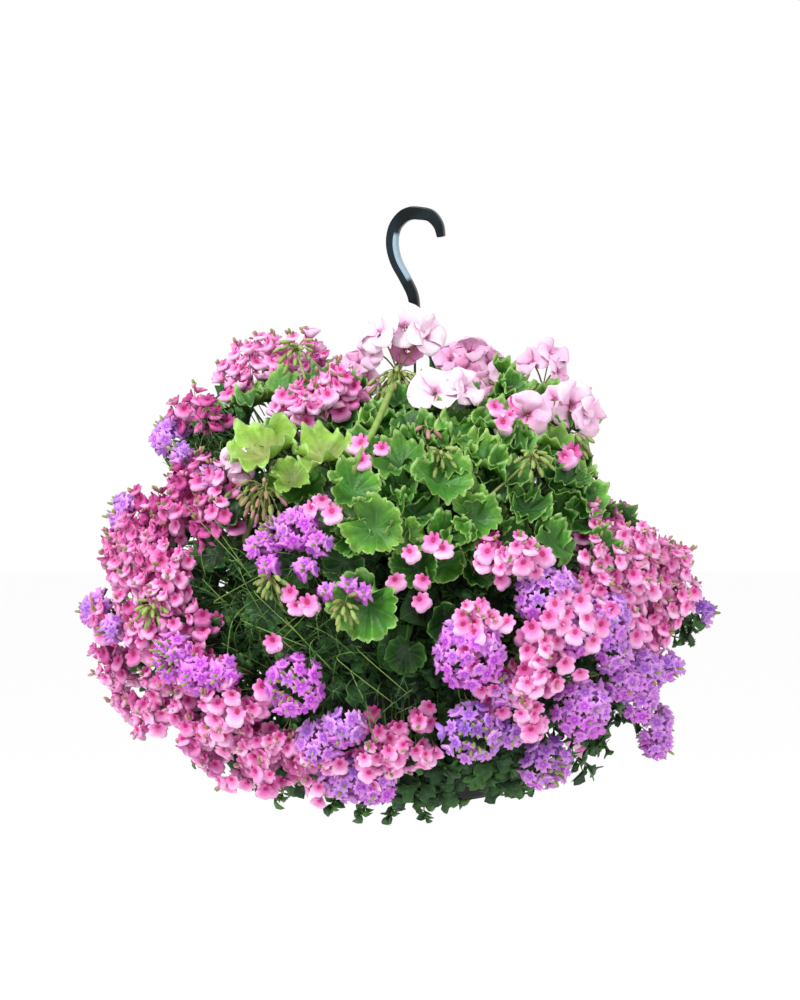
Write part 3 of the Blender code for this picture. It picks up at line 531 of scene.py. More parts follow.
# %% Stems
def smooth_path(points, steps):
    """A Catmull-Rom curve through the points, with `steps` pieces between each two."""
    line = [points[0]] + list(points) + [points[-1]]
    path = []
    for before, a, b, after in zip(line, line[1:], line[2:], line[3:]):
        for step in range(steps):
            t = step / steps
            cubic = (3 * a - before - 3 * b + after) * t**3
            square = (2 * before - 5 * a + 4 * b - after) * t**2
            path.append(0.5 * (2 * a + (b - before) * t + square + cubic))
    path.append(points[-1].copy())
    return path


def add_stalk(stems, points, steps, first, last, tone):
    """Put a stem through some points on a list, with its first and last radius in mm."""
    path = smooth_path(points, steps)
    stems.append((path, first * MM, last * MM, tone))
    return path


def tubes(stems, resolution):
    """The mesh of round tubes along the paths of some stems."""
    data = bpy.data.curves.new("stems", "CURVE")
    data.dimensions = "3D"
    data.bevel_depth = 1.0
    data.bevel_resolution = resolution
    data.use_fill_caps = True
    for path, first, last, _ in stems:
        spline = data.splines.new("POLY")
        spline.points.add(len(path) - 1)
        for index, place in enumerate(path):
            share = index / (len(path) - 1)
            spline.points[index].co = (*place, 1)
            spline.points[index].radius = first + (last - first) * share
    guide = bpy.data.objects.new("stems", data)
    bpy.context.scene.collection.objects.link(guide)
    bpy.context.view_layer.update()
    shown = guide.evaluated_get(bpy.context.evaluated_depsgraph_get())
    mesh = bpy.data.meshes.new_from_object(shown)
    bpy.data.objects.remove(guide, do_unlink=True)
    return mesh


def add_stems(bm, stems, slot, resolution=0):
    """Add round stems, each a path with its first and last radius and a tone."""
    for tone in sorted({stem[3] for stem in stems}):
        mesh = tubes([stem for stem in stems if stem[3] == tone], resolution)
        part = new_shape()
        part.from_mesh(mesh)
        bpy.data.meshes.remove(mesh)
        bmesh.ops.remove_doubles(part, verts=part.verts[:], dist=WELD)
        layer = part.verts.layers.float["tone"]
        for vert in part.verts:
            vert[layer] = tone
        for face in part.faces:
            face.material_index = slot
        shape = template(part)
        bm.from_mesh(shape)
        bpy.data.meshes.remove(shape)


print("a path of 3 points in 4 steps has", len(smooth_path([UP, UP * 2, UP * 3], 4)), "points")

# %% [markdown]
# Every finished piece rides on the basket's one body, takes the materials that it is given,
# and hides the imported nodes that it stands for. One function does this, so none is forgotten.

# %% Finishing a piece
TRIANGLES = {}


def finish_piece(name, bm, materials, nodes=()):
    """Make the object of a finished piece, which rides on the basket."""
    mesh = bpy.data.meshes.new(name)
    for face in bm.faces:
        face.smooth = True
    bm.to_mesh(mesh)
    bm.free()
    for material in materials:
        mesh.materials.append(material)
    made = bpy.data.objects.new(name, mesh)
    bpy.context.scene.collection.objects.link(made)
    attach(made, "root")
    if nodes:
        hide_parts(*nodes)
    TRIANGLES[name] = sum(len(face.vertices) - 2 for face in mesh.polygons)


print("pieces so far:", len(TRIANGLES))

# %% [markdown]
# ## The flowers
# A twinspur flower has two lips: two small upper lobes, one at each side, and a broad lower
# lip. A verbena floret is flat, with five notched petals. Both narrow behind to a tube. Their
# outlines are a ring's corners moved in or out, which keeps a copy to a few dozen faces.

# %% Twinspur and verbena florets
# How far out the corners lie from straight up round to straight down, in 18 degree steps
LIP_OUTLINE = (0.44, 0.68, 0.72, 0.56, 0.8, 0.86, 0.74, 0.96, 1.08, 1.08, 1.0)
LIP_MIDDLE_RISE = (0.08, 0.1, 0.1, 0.02, 0.08, 0.1, 0.04, 0.12, 0.16, 0.18, 0.18)
LIP_RIM_RISE = (0.2, 0.24, 0.2, 0.06, 0.12, 0.12, 0.02, 0.06, 0.04, 0.0, -0.02)
# The lobes keep the deeper colour of the throat further out than the lip does
LIP_PALENESS = (0.3, 0.4, 0.45, 0.4, 0.66, 0.7, 0.66, 1.0, 1.0, 1.0, 1.0)
LIP_RINGS = (0.22, 0.62, 1.0)
# How far out and how high a verbena petal's corners lie: its foot, two tips and the notch
NOTCHED_PETAL = (0.5, 1.02, 0.84, 1.02)
NOTCHED_RISE = (-0.06, 0.06, 0.12, 0.06)
FLORET_CORNERS = 20
# How far behind the face a floret's tube ends
TWINSPUR_TUBE, VERBENA_TUBE = 0.7, 0.9


def twinspur_floret():
    """A two-lipped flower of unit reach that faces +Z, with +X up."""
    bm = ringed_disc(FLORET_CORNERS, LIP_RINGS)
    across = bm.verts.layers.float["across"]
    for vert in bm.verts:
        reach = vert.co.xy.length
        corner = round(abs(polar(vert.co)) / math.tau * FLORET_CORNERS)
        vert.co.xy *= 1 + (LIP_OUTLINE[corner] - 1) * reach
        vert[across] *= LIP_PALENESS[corner]
        # The middle point, then the three rings
        if reach < 0.1:
            vert.co.z = -0.12
        elif reach < 0.4:
            vert.co.z = 0.02
        else:
            vert.co.z = (LIP_MIDDLE_RISE if reach < 0.8 else LIP_RIM_RISE)[corner]
    close_behind(bm, Vector((0, 0, -TWINSPUR_TUBE)))
    return template(bm)


def verbena_floret():
    """A flat floret of unit reach with five notched petals, on a narrow tube."""
    bm = ringed_disc(FLORET_CORNERS, (0.3, 1.0))
    for vert in bm.verts:
        corner = round((polar(vert.co) % math.tau) / math.tau * FLORET_CORNERS)
        corner %= len(NOTCHED_PETAL)
        if vert.co.xy.length > 0.5:
            vert.co.xy *= NOTCHED_PETAL[corner]
            vert.co.z = NOTCHED_RISE[corner]
    close_behind(bm, Vector((0, 0, -VERBENA_TUBE)))
    return template(bm)


def closed_bud(stretch):
    """A small pointed bud of unit half width, which points along +Z."""
    bm = new_shape()
    bmesh.ops.create_uvsphere(bm, u_segments=6, v_segments=4, radius=1)
    bmesh.ops.scale(bm, vec=(1, 1, stretch), verts=bm.verts[:])
    bmesh.ops.translate(bm, vec=(0, 0, stretch), verts=bm.verts[:])
    for face in bm.faces:
        face.material_index = 1
    return template(bm)


TWINSPUR_FLORET = twinspur_floret()
VERBENA_FLORET = verbena_floret()
# Buds of twinspur, pelargonium and verbena, each slimmer than the last
BUD_SHAPE = closed_bud(1.9)
SEPAL_BUD = closed_bud(2.7)
LONG_BUD = closed_bud(3.2)
print("floret faces:", len(TWINSPUR_FLORET.polygons), len(VERBENA_FLORET.polygons))

# %% [markdown]
# A pelargonium flower is much larger, with five rounded petals that overlap and ripple. Each
# petal is a disc drawn narrow at its foot, cupped a little, and given a thin closed body.

# %% Pelargonium flower
PETAL_THICKNESS = 0.03
PETAL_CORNERS = 16
PETAL_RINGS = (0.35, 0.72, 1.0)
# A petal's foot lies this far from the middle, and its half breadth is about the second
PETAL_FOOT, PETAL_BREADTH = 0.05, 0.58
FLOWER_PETALS = 5


def pelargonium_petal(rng):
    """One broad rippled petal that runs out from the origin along +X."""
    bm = ringed_disc(PETAL_CORNERS, PETAL_RINGS)
    across = bm.verts.layers.float["across"]
    phase, curl = rng.uniform(0, math.tau), rng.uniform(0.1, 0.4)
    for vert in bm.verts:
        angle, reach = polar(vert.co), vert.co.length
        ripple = 0.09 * math.sin(3 * angle + phase) * reach**2
        ripple += 0.05 * math.sin(5 * angle - phase) * reach**3
        along = (vert.co.x + 1) / 2
        vert[across] = along
        width = 0.34 + 0.74 * math.sin(min(1.0, along * 1.2) * math.pi / 2)
        vert.co.y *= width * PETAL_BREADTH
        vert.co.x = PETAL_FOOT + along * (1 - PETAL_FOOT)
        vert.co.z = curl * math.sin(along * 2.8) - 0.1 + ripple + 0.3 * vert.co.y**2
    bmesh.ops.solidify(bm, geom=bm.faces[:], thickness=PETAL_THICKNESS)
    return template(bm)


def pelargonium_flower(seed):
    """Five petals round a small throat, of unit reach, facing +Z."""
    rng = random.Random(seed)
    flower = new_shape()
    for index in range(FLOWER_PETALS):
        petal = pelargonium_petal(rng)
        turn = index * math.tau / FLOWER_PETALS + rng.uniform(-0.15, 0.15)
        tilt = Matrix.Rotation(rng.uniform(-0.35, 0.2), 4, "Y")
        twist = Matrix.Rotation(rng.uniform(-0.35, 0.35), 4, "X")
        petal.transform(Matrix.Rotation(turn, 4, "Z") @ tilt @ twist)
        flower.from_mesh(petal)
        bpy.data.meshes.remove(petal)
    return template(flower)


FLOWER_KINDS = 4
FLOWERS = [pelargonium_flower(seed) for seed in range(FLOWER_KINDS)]
print("pelargonium flower faces:", len(FLOWERS[0].polygons))

# %% [markdown]
# ## Verbena heads
# A verbena head is a low dome of florets, packed so closely that they overlap. The outer
# ones open first, so many heads still have a green knot of buds in their middle. Every
# packed head gives its own place and size, and the mass says which way it faces.

# %% Verbena heads
VERBENA_REACH = 8.8 * MM
# The tone of each head: 0 is magenta-violet, 0.5 lavender and 1 blue-violet
VERBENA_TONES = (
    0.22, 0.8, 0.5, 0.55, 0.45, 0.66, 0.55, 0.5, 0.95, 0.05, 0.1, 0.25, 0.7, 0.6, 0.6, 0.3, 0.7,
    0.5,
)
OPEN_HEADS = (2, 6, 10, 11, 12)
# Two layers of florets: the share of the radius, the degrees from the top and the crowding
HEAD_LAYERS = ((1.0, 98, 2.1), (0.78, 80, 1.0))
# An opened head is less crowded, and bare over this share of its dome
OPEN_CROWDING, OPEN_BARE = 0.8, 0.07
# The buds in its middle, and the degrees from the top that they reach
OPEN_KNOT, CLOSED_KNOT = (18, 46), (2, 20)
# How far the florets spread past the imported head, and the one head that stays small
HEAD_WIDTH, SMALL_WIDTH, SMALL_HEAD = 1.04, 0.84, 12
# Small side heads: across, down, radius, stand-off and tone
SIDE_HEADS = (
    (-288, 286, 14, 4, 0.6), (-294, 298, 12, 4, 0.6), (-202, 258, 13, 2, 0.55),
    (-244, 210, 14, 6, 0.75), (-232, 234, 12, 6, 0.7), (-145, 347, 9, 14, 0.15),
    (-108, 349, 10, 14, 0.2), (-95, 324, 12, 14, 0.2), (-88, 371, 7, 16, 0.1),
    (-66, 365, 7, 16, 0.1), (-51, 373, 7, 16, 0.1), (-118, 308, 22, 12, 0.2),
    (-150, 326, 16, 8, 0.15), (250, 445, 16, 6, 0.6), (240, 520, 18, 0, 0.6),
    (222, 480, 20, 2, 0.5), (90, 470, 18, 6, 0.65), (158, 412, 22, 8, 0.45),
    (196, 430, 20, 6, 0.55), (205, 460, 18, 4, 0.5), (-96, 520, 24, 6, 0.55),
    (-70, 505, 20, 8, 0.6), (-40, 560, 22, 4, 0.4), (-300, 408, 14, 4, 0.6),
    (-215, 452, 20, 10, 0.12), (-190, 452, 16, 10, 0.1), (96, 508, 16, 6, 0.75),
)
# Heads at the back, given in the same way
BACK_HEADS = (
    (-170, 420, 26, 6, 0.15), (-120, 300, 22, 4, 0.5), (60, 470, 28, 4, 0.6),
    (10, 520, 24, 2, 0.5), (150, 340, 26, 4, 0.2), (210, 420, 26, 6, 0.6),
    (-230, 350, 24, 4, 0.6), (-60, 400, 24, 6, 0.1),
)


def nodes_named(start):
    """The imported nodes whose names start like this, in order."""
    return sorted(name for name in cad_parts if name.startswith(start))


def head_place(node):
    """A packed head's middle, facing and half size."""
    low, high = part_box(node)
    middle = (low + high) / 2
    facing = (outward(middle / MM) + 0.25 * UP).normalized()
    return middle, facing, sum(high - low) / 6


def add_verbena_head(bm, middle, facing, radius, tone, opened, rng):
    """Florets over a dome, and in an opened head the green knot that they leave bare."""
    turn = frame_at(middle, facing)
    for layer, widest, crowding in HEAD_LAYERS:
        crowding *= OPEN_CROWDING if opened else 1.0
        count = int((radius * layer / VERBENA_REACH) ** 2 * crowding) + 2
        for index in range(count):
            share = (index + 0.5) / count
            if opened and share < OPEN_BARE:
                continue
            way = dome_way(share, index * GOLDEN_ANGLE, widest)
            place = way * radius * layer * rng.uniform(0.84, 1.0)
            lean = (way + 0.3 * any_way(rng)).normalized()
            spin = Matrix.Rotation(rng.uniform(0, math.tau), 4, "Z")
            size = Matrix.Scale(VERBENA_REACH * rng.uniform(0.82, 1.14), 4)
            # Painted shade: florets low on a head turn deeper magenta, and those of the inner layer
            # turn darker, towards blue-violet
            low = max(0.0, 0.2 - (turn.to_3x3() @ way).z)
            own = tone + rng.uniform(-0.24, 0.24) + (1 - layer) * 0.8 - 0.35 * low
            add_copy(bm, VERBENA_FLORET, turn @ frame_at(place, lean) @ spin @ size, own)
    buds, widest = OPEN_KNOT if opened else CLOSED_KNOT
    for index in range(buds):
        way = dome_way((index + 0.5) / buds, index * GOLDEN_ANGLE, widest)
        size = Matrix.Scale(rng.uniform(1.3, 1.8) * MM, 4)
        place = turn @ frame_at(way * radius * 0.72, way) @ size
        add_copy(bm, LONG_BUD, place, rng.uniform(0.0, 0.3))


heads = nodes_named("verbena_head")
for number, (node, tone) in enumerate(zip(heads, VERBENA_TONES), 1):
    shape = new_shape()
    middle, facing, radius = head_place(node)
    head_rng = random.Random(node)
    opened = number in OPEN_HEADS
    wide = SMALL_WIDTH if number == SMALL_HEAD else HEAD_WIDTH
    add_verbena_head(shape, middle, facing, radius * wide, tone, opened, head_rng)
    finish_piece(node + "_florets", shape, [VERBENA_PETAL, BUD], [node])
print("verbena heads:", len(heads))

# %% [markdown]
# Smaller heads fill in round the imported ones, as side shoots that flower later. They share
# one piece, and each in front has a short stalk that runs back into the plant.

# %% Small side heads
side_shape, side_stems = new_shape(), []
for number, (across, down, radius, stand_off, tone) in enumerate(SIDE_HEADS):
    place, facing = on_mass(across, down, stand_off)
    add_verbena_head(side_shape, place, facing, radius * MM, tone, False, random.Random(number))
    back = place - facing * 50 * MM - UP * 15 * MM
    add_stalk(side_stems, [back, place - facing * 20 * MM, place], 3, 0.7, 0.6, 0.5)
add_stems(side_shape, side_stems, 1)
for number, (across, down, radius, stand_off, tone) in enumerate(BACK_HEADS, 100):
    place, facing = on_mass(across, down, stand_off, -1)
    add_verbena_head(side_shape, place, facing, radius * MM, tone, False, random.Random(number))
finish_piece("verbena_side_heads", side_shape, [VERBENA_PETAL, BUD])
print("side heads:", len(SIDE_HEADS), "in front and", len(BACK_HEADS), "at the back")

# %% [markdown]
# ## Twinspur sprays
# Twinspur flowers stand round the ends of thin upright stems, a few dozen to a spray. A
# flower is laid down six times to a stem end, and stem ends are laid down by the golden
# angle, so one rule makes every spray.

# %% Twinspur stem ends
TWINSPUR_REACH = 11.4 * MM
RACEME_LENGTH = 34 * MM
RACEME_FLOWERS = 6
RACEME_BUDS = 3
# The square of a spray's radius in mm, over this, is its number of stem ends
SPRAY_OPENNESS = 185
FEWEST_RACEMES = 4
# Stem ends stand up to this far out in mm, and those at the rim of a spray this much less
SPRAY_UNEVENNESS = 26
SPRAY_ROUNDING = 8


def add_twinspur_flower(bm, place, facing, tone, rng, size=1.0):
    """One flower, its broad lip hanging down."""
    lean = (facing + 0.45 * any_way(rng)).normalized()
    turn = Matrix.Rotation(rng.uniform(-0.7, 0.7), 4, "Z")
    scale = Matrix.Scale(TWINSPUR_REACH * size * rng.uniform(0.82, 1.1), 4)
    scale = scale @ Matrix.Diagonal((rng.uniform(0.9, 1.1), 1, rng.uniform(0.8, 1.6), 1))
    own = tone + rng.uniform(-0.3, 0.42)
    add_copy(bm, TWINSPUR_FLORET, frame_at(place, lean) @ turn @ scale, own)


def add_raceme(bm, stems, tip, facing, tone, rng):
    """One stem end: flowers round it, smaller towards its tip, and buds above them."""
    axis = (facing * 0.8 + UP * 0.5 + 0.5 * any_way(rng)).normalized()
    foot = tip - axis * RACEME_LENGTH
    add_stalk(stems, [foot - facing * 25 * MM, foot, tip], 2, 0.6, 0.4, 0.5)
    turn = frame_at(tip, axis).to_3x3()
    for index in range(RACEME_FLOWERS):
        share = (index + 0.3) / RACEME_FLOWERS
        around = index * GOLDEN_ANGLE + rng.uniform(-0.3, 0.3)
        out = turn @ Vector((math.cos(around), math.sin(around), 0.4))
        place = tip - axis * share * RACEME_LENGTH + out * (5 + 5 * share) * MM
        look = (out * 0.7 + facing).normalized()
        add_twinspur_flower(bm, place, look, tone, rng, 0.78 + 0.3 * share)
    for _ in range(RACEME_BUDS):
        place = tip + (axis * rng.uniform(0, 5) + any_way(rng) * 2) * MM
        look = axis + 0.6 * any_way(rng)
        size = Matrix.Scale(rng.uniform(1.2, 1.9) * MM, 4)
        add_copy(bm, BUD_SHAPE, frame_at(place, look) @ size, rng.uniform(0.2, 1))


def add_spray(bm, middle, facing, radius, tone, rng):
    """Stem ends spread over a patch of the mass, their tips at uneven heights."""
    turn = frame_at(middle, facing)
    stand_off = (middle - lifted(middle, 0)[0]).dot(facing) / MM
    stems = []
    racemes = max(FEWEST_RACEMES, round((radius / MM) ** 2 / SPRAY_OPENNESS))
    for index in range(racemes):
        share = math.sqrt((index + 0.5) / racemes)
        around = index * GOLDEN_ANGLE
        flat = Vector((math.cos(around), math.sin(around), 0)) * share * radius
        rise = rng.uniform(0, 1)
        height = stand_off + SPRAY_UNEVENNESS * rise - SPRAY_ROUNDING * share
        tip, out = lifted(turn @ flat, height)
        # A tone partly random, and painted shade: stem ends lower in the mass are deeper pink
        shade_tone = 0.5 * (1 - rise) + rng.uniform(-0.15, 0.15)
        add_raceme(bm, stems, tip, out, tone + shade_tone, rng)
    add_stems(bm, stems, 1)


print("flowers and buds on a stem end:", RACEME_FLOWERS, "and", RACEME_BUDS)

# %% [markdown]
# The sprays flow into each other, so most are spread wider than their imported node. A list of
# smaller ones fills the gaps between them, and another carries on round the back.

# %% Twinspur sprays
# For each packed spray its tone, and how much wider than its node it spreads
SPRAY_TONES = (
    0.1, 0.05, 0.7, 0.45, 0.3, 0.3, 0.2, 0.25, 0.25, 0.2, 0.1, 0.0, 0.0, 0.0, 0.05, 0.3, 0.3,
    0.3,
)
SPRAY_WIDTHS = (
    1.1, 1.1, 1.0, 1.3, 1.25, 1.4, 1.2, 0.88, 1.2, 1.5, 1.1, 0.9, 1.0, 1.2, 1.2, 1.1, 1.1, 1.1,
)
sprays = nodes_named("twinspur_spray")
for node, tone, wide in zip(sprays, SPRAY_TONES, SPRAY_WIDTHS):
    shape = new_shape()
    middle, facing, radius = head_place(node)
    add_spray(shape, middle, facing, radius * wide, tone, random.Random(node))
    finish_piece(node + "_flowers", shape, [TWINSPUR_PETAL, BUD], [node])
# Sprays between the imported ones: across, down, radius, stand-off and tone
SIDE_SPRAYS = (
    (-245, 339, 30, 0, 0.2), (-240, 389, 30, 0, 0.25), (-300, 399, 22, -4, 0.2),
    (-215, 444, 26, 2, 0.2), (-250, 469, 28, 0, 0.2), (-180, 484, 28, 4, 0.2),
    (-220, 500, 26, 2, 0.25), (-165, 514, 28, 4, 0.2), (-105, 530, 24, 4, 0.2),
    (-45, 522, 22, 4, 0.2), (215, 379, 32, 0, 0.1), (245, 400, 20, -4, 0.15),
    (190, 338, 24, 4, 0.1), (-112, 136, 24, 4, 0.15), (-84, 172, 18, 6, 0.2),
    (132, 420, 20, 14, 0.15), (100, 470, 20, 12, 0.15),
    (-205, 290, 24, 0, 0.55), (-285, 340, 20, -4, 0.3), (62, 400, 16, 16, 0.15),
    (226, 348, 28, 6, 0.0), (186, 372, 22, 8, 0.0), (204, 318, 18, 2, 0.0),
    (252, 372, 20, 2, 0.05), (262, 336, 14, 0, 0.05),
)
# Sprays at the back, given in the same way
BACK_SPRAYS = (
    (-210, 462, 28, -4, 0.2), (-140, 486, 26, 0, 0.25), (110, 500, 32, 2, 0.2),
    (180, 480, 30, 2, 0.15), (-250, 410, 30, 0, 0.25), (90, 400, 28, 4, 0.3),
    (230, 340, 28, 0, 0.4), (-10, 460, 28, 2, 0.2), (-80, 250, 26, 0, 0.3),
)
spray_shape, spray_rng = new_shape(), random.Random(17)
for rows, side in ((SIDE_SPRAYS, 1), (BACK_SPRAYS, -1)):
    for across, down, radius, stand_off, tone in rows:
        place, facing = on_mass(across, down, stand_off, side)
        add_spray(spray_shape, place, facing, radius * MM, tone, spray_rng)
finish_piece("twinspur_side_sprays", spray_shape, [TWINSPUR_PETAL, BUD])
print("twinspur sprays:", len(sprays), "and", len(SIDE_SPRAYS) + len(BACK_SPRAYS), "small ones")

# %% [markdown]
# In front of the leaves and the verbena, single twinspur flowers can be told apart, each one
# on a stem too thin to notice. They are placed one by one.

# %% Twinspur flowers that stand alone
# Across, down, stand-off and tone
LONE_FLOWERS = (
    (-104, 287, 26, 0.2), (-93, 279, 28, 0.1), (-83, 291, 26, 0.2), (-125, 371, 20, 0.2),
    (-119, 385, 22, 0.3), (-107, 382, 20, 0.1), (-55, 222, 30, 0.2), (-33, 227, 30, 0.1),
    (-53, 239, 28, 0.3), (-5, 331, 24, 0.1), (18, 320, 22, 0.05), (28, 328, 24, 0.1),
    (-20, 359, 22, 0.2), (8, 359, 22, 0.15), (5, 379, 20, 0.4), (65, 342, 24, 0.1),
    (72, 331, 26, 0.05), (88, 334, 26, 0.0), (105, 332, 26, 0.05), (115, 339, 26, 0.1),
    (128, 334, 24, 0.05), (120, 351, 24, 0.1), (65, 386, 26, 0.1), (77, 397, 28, 0.1),
    (92, 401, 26, 0.15), (70, 420, 30, 0.05), (50, 428, 30, 0.1), (58, 444, 30, 0.15),
    (117, 407, 26, 0.1), (130, 419, 28, 0.1), (125, 440, 26, 0.15), (110, 448, 24, 0.2),
    (150, 442, 24, 0.1), (165, 452, 22, 0.3), (142, 462, 22, 0.2), (170, 425, 22, 0.3),
    (105, 478, 22, 0.1), (120, 486, 22, 0.2), (157, 231, 16, 0.4), (150, 236, 14, 0.5),
    (80, 186, 22, 0.3), (95, 194, 22, 0.3), (88, 202, 20, 0.2), (100, 182, 18, 0.4),
    (-183, 474, 20, 0.1), (-190, 456, 16, 0.05), (-178, 492, 18, 0.2), (-142, 420, 14, 0.4),
    (-152, 466, 14, 0.5), (-130, 478, 18, 0.1), (20, 532, 12, 0.3), (-85, 566, 8, 0.2),
    (48, 404, 34, 0.1), (60, 412, 36, 0.0), (140, 384, 34, 0.1), (152, 392, 34, 0.2),
    (166, 380, 32, 0.1), (172, 398, 32, 0.15), (160, 412, 34, 0.1), (148, 404, 34, 0.0),
    (178, 420, 30, 0.2), (186, 404, 30, 0.2), (134, 396, 34, 0.2), (196, 388, 28, 0.3),
    (150, 372, 32, 0.1), (128, 452, 34, 0.1), (112, 462, 32, 0.0),
)
lone_shape, lone_stems, lone_rng = new_shape(), [], random.Random(21)
for across, down, stand_off, tone in LONE_FLOWERS:
    place, facing = on_mass(across, down, stand_off)
    look = (facing - Vector((0, 0.5, 0))).normalized()
    add_twinspur_flower(lone_shape, place, look, tone, lone_rng, 1.02)
    back = place - facing * 45 * MM - UP * 12 * MM
    add_stalk(lone_stems, [back, place - look * 12 * MM, place], 3, 0.6, 0.4, 0.5)
add_stems(lone_shape, lone_stems, 1)
finish_piece("twinspur_lone_flowers", lone_shape, [TWINSPUR_PETAL, BUD])
print("lone flowers:", len(LONE_FLOWERS))

# %% [markdown]
# ## Pelargonium umbels
# A pelargonium umbel opens a few flowers at a time. They stand round a knot of green buds
# that still hang from their stalks, and all of it springs from the top of one thick stalk.
# The flowers are few and large, so each is placed one by one.

# %% Pelargonium umbels
# For each umbel, where its stalks spring from: across and down
UMBEL_FEET = ((-17, 152), (58, 158), (128, 166), (152, 214), (-162, 262), (-66, 166))
# The flowers: umbel, across, down, forward, size, heading right and up, and tone
UMBEL_FLOWERS = (
    (1, -34, 112, 4, 23, -0.5, 0.5, 0.1), (1, -10, 106, 0, 25, 0.0, 0.6, 0.0),
    (1, 10, 114, 6, 22, 0.5, 0.35, 0.05), (1, -40, 130, -6, 20, -0.8, 0.2, 0.35),
    (1, -8, 130, -12, 17, 0.1, 0.2, 0.95), (1, 20, 171, 46, 28, -0.1, 0.75, 0.02),
    (1, 48, 168, 40, 22, 0.5, 0.5, 0.08),
    (2, 36, 138, 0, 19, -0.3, 0.5, 0.6), (2, 55, 130, -6, 20, 0.0, 0.8, 0.5),
    (2, 74, 142, -4, 19, 0.6, 0.4, 0.4), (2, 50, 152, 8, 18, 0.0, 0.1, 0.85),
    (2, 80, 160, 0, 21, 0.8, 0.0, 0.35), (2, 64, 166, 6, 18, 0.3, -0.2, 0.6),
    (2, 56, 172, 30, 18, -0.2, 0.2, 0.6), (2, 86, 154, 24, 18, 0.5, 0.3, 0.4),
    (2, 76, 178, 34, 14, 0.2, 0.1, 0.85),
    (3, 118, 142, 0, 18, -0.4, 0.6, 0.4), (3, 136, 134, -4, 19, 0.5, 0.6, 0.45),
    (3, 142, 150, 2, 17, 0.8, 0.2, 0.5), (4, 112, 194, 34, 24, -0.1, 0.1, 0.45),
    (4, 156, 184, 4, 25, 0.5, 0.3, 0.25), (4, 172, 196, 0, 21, 0.9, 0.0, 0.3),
    (4, 140, 178, -6, 16, -0.2, 0.6, 0.4), (5, -180, 238, 4, 15, -0.3, 0.3, 0.25),
    (5, -174, 250, 2, 14, 0.0, -0.2, 0.3), (6, -78, 150, 0, 18, -0.5, 0.5, 0.6),
    (6, -56, 142, 0, 18, 0.2, 0.7, 0.55), (6, -48, 160, 6, 17, 0.5, 0.2, 0.7),
    (6, -70, 168, 8, 16, -0.2, 0.0, 0.8),
)
# The buds of an umbel, where the tall one has more and the small one at the left fewer
BUD_COUNT = 34
OWN_BUD_COUNTS = {1: 56, 5: 16}
BUD_REACH = 22 * MM
# An umbel further back than this is seen from behind too, so it gets each flower twice, the
# second one facing back, from this much further behind
SEEN_BEHIND = -40
BACK_STEP = 14


def add_buds(bm, stalks, foot, heading, reach, count, tone, rng):
    """Buds on thin stalks that radiate from one point and hang from their own weight."""
    turn = frame_at(foot, heading).to_3x3()
    for index in range(count):
        way = turn @ dome_way((index + 0.5) / count, index * GOLDEN_ANGLE, 88)
        length = reach * rng.uniform(0.5, 1.1)
        tip = foot + way * length - UP * length * 0.25
        add_stalk(stalks, [foot, foot + way * length * 0.55, tip], 2, 0.6, 0.5, 0.35)
        size = Matrix.Scale(rng.uniform(1.7, 2.6) * MM, 4)
        own = tone + rng.uniform(-0.2, 0.3)
        add_copy(bm, SEPAL_BUD, frame_at(tip, way - UP * 0.9) @ size, own)


def add_umbel_flower(bm, stalks, foot, place, look, size, tone, rng):
    """One flower on its stalk."""
    spin = Matrix.Rotation(rng.uniform(0, math.tau), 4, "Z")
    placement = frame_at(place, look) @ spin @ Matrix.Scale(size * MM, 4)
    add_copy(bm, rng.choice(FLOWERS), placement, tone)
    add_stalk(stalks, [foot, foot.lerp(place, 0.5) + UP * 3 * MM, place], 3, 0.9, 0.8, 0.5)


umbels = nodes_named("pelargonium_umbel")
umbel_feet = []
for number, (node, (across, down)) in enumerate(zip(umbels, UMBEL_FEET), 1):
    low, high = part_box(node)
    reach = ((low + high) / 2 / MM - VIEW_AIM).dot(VIEW_TOWARDS)
    foot = seen_place(across, down, reach) * MM
    umbel_feet.append(foot)
    shape, stalks, rng = new_shape(), [], random.Random(node)
    for umbel, across, down, forward, size, right, rise, tone in UMBEL_FLOWERS:
        if umbel != number:
            continue
        place = seen_place(across, down, reach + forward) * MM
        look = Vector((right, -0.7, rise)).normalized()
        add_umbel_flower(shape, stalks, foot, place, look, size, tone, rng)
        if reach < SEEN_BEHIND:
            place = seen_place(across, down, reach - forward - BACK_STEP) * MM
            look.y = -look.y
            add_umbel_flower(shape, stalks, foot, place, look, size, tone, rng)
    buds = OWN_BUD_COUNTS.get(number, BUD_COUNT)
    heading = VIEW_TOWARDS * 0.6 - UP * 0.8
    add_buds(shape, stalks, foot, heading, BUD_REACH, buds, 0.15, rng)
    add_stems(shape, stalks, 1)
    finish_piece(node + "_flowers", shape, [PELARGONIUM_PETAL, BUD], [node])
print("umbels:", len(umbels), "with", len(UMBEL_FLOWERS), "flowers")

# %% [markdown]
# Between the leaves stand umbels that have not opened yet. They are the same buds on their
# stalks, so the function above makes them, at places of their own.

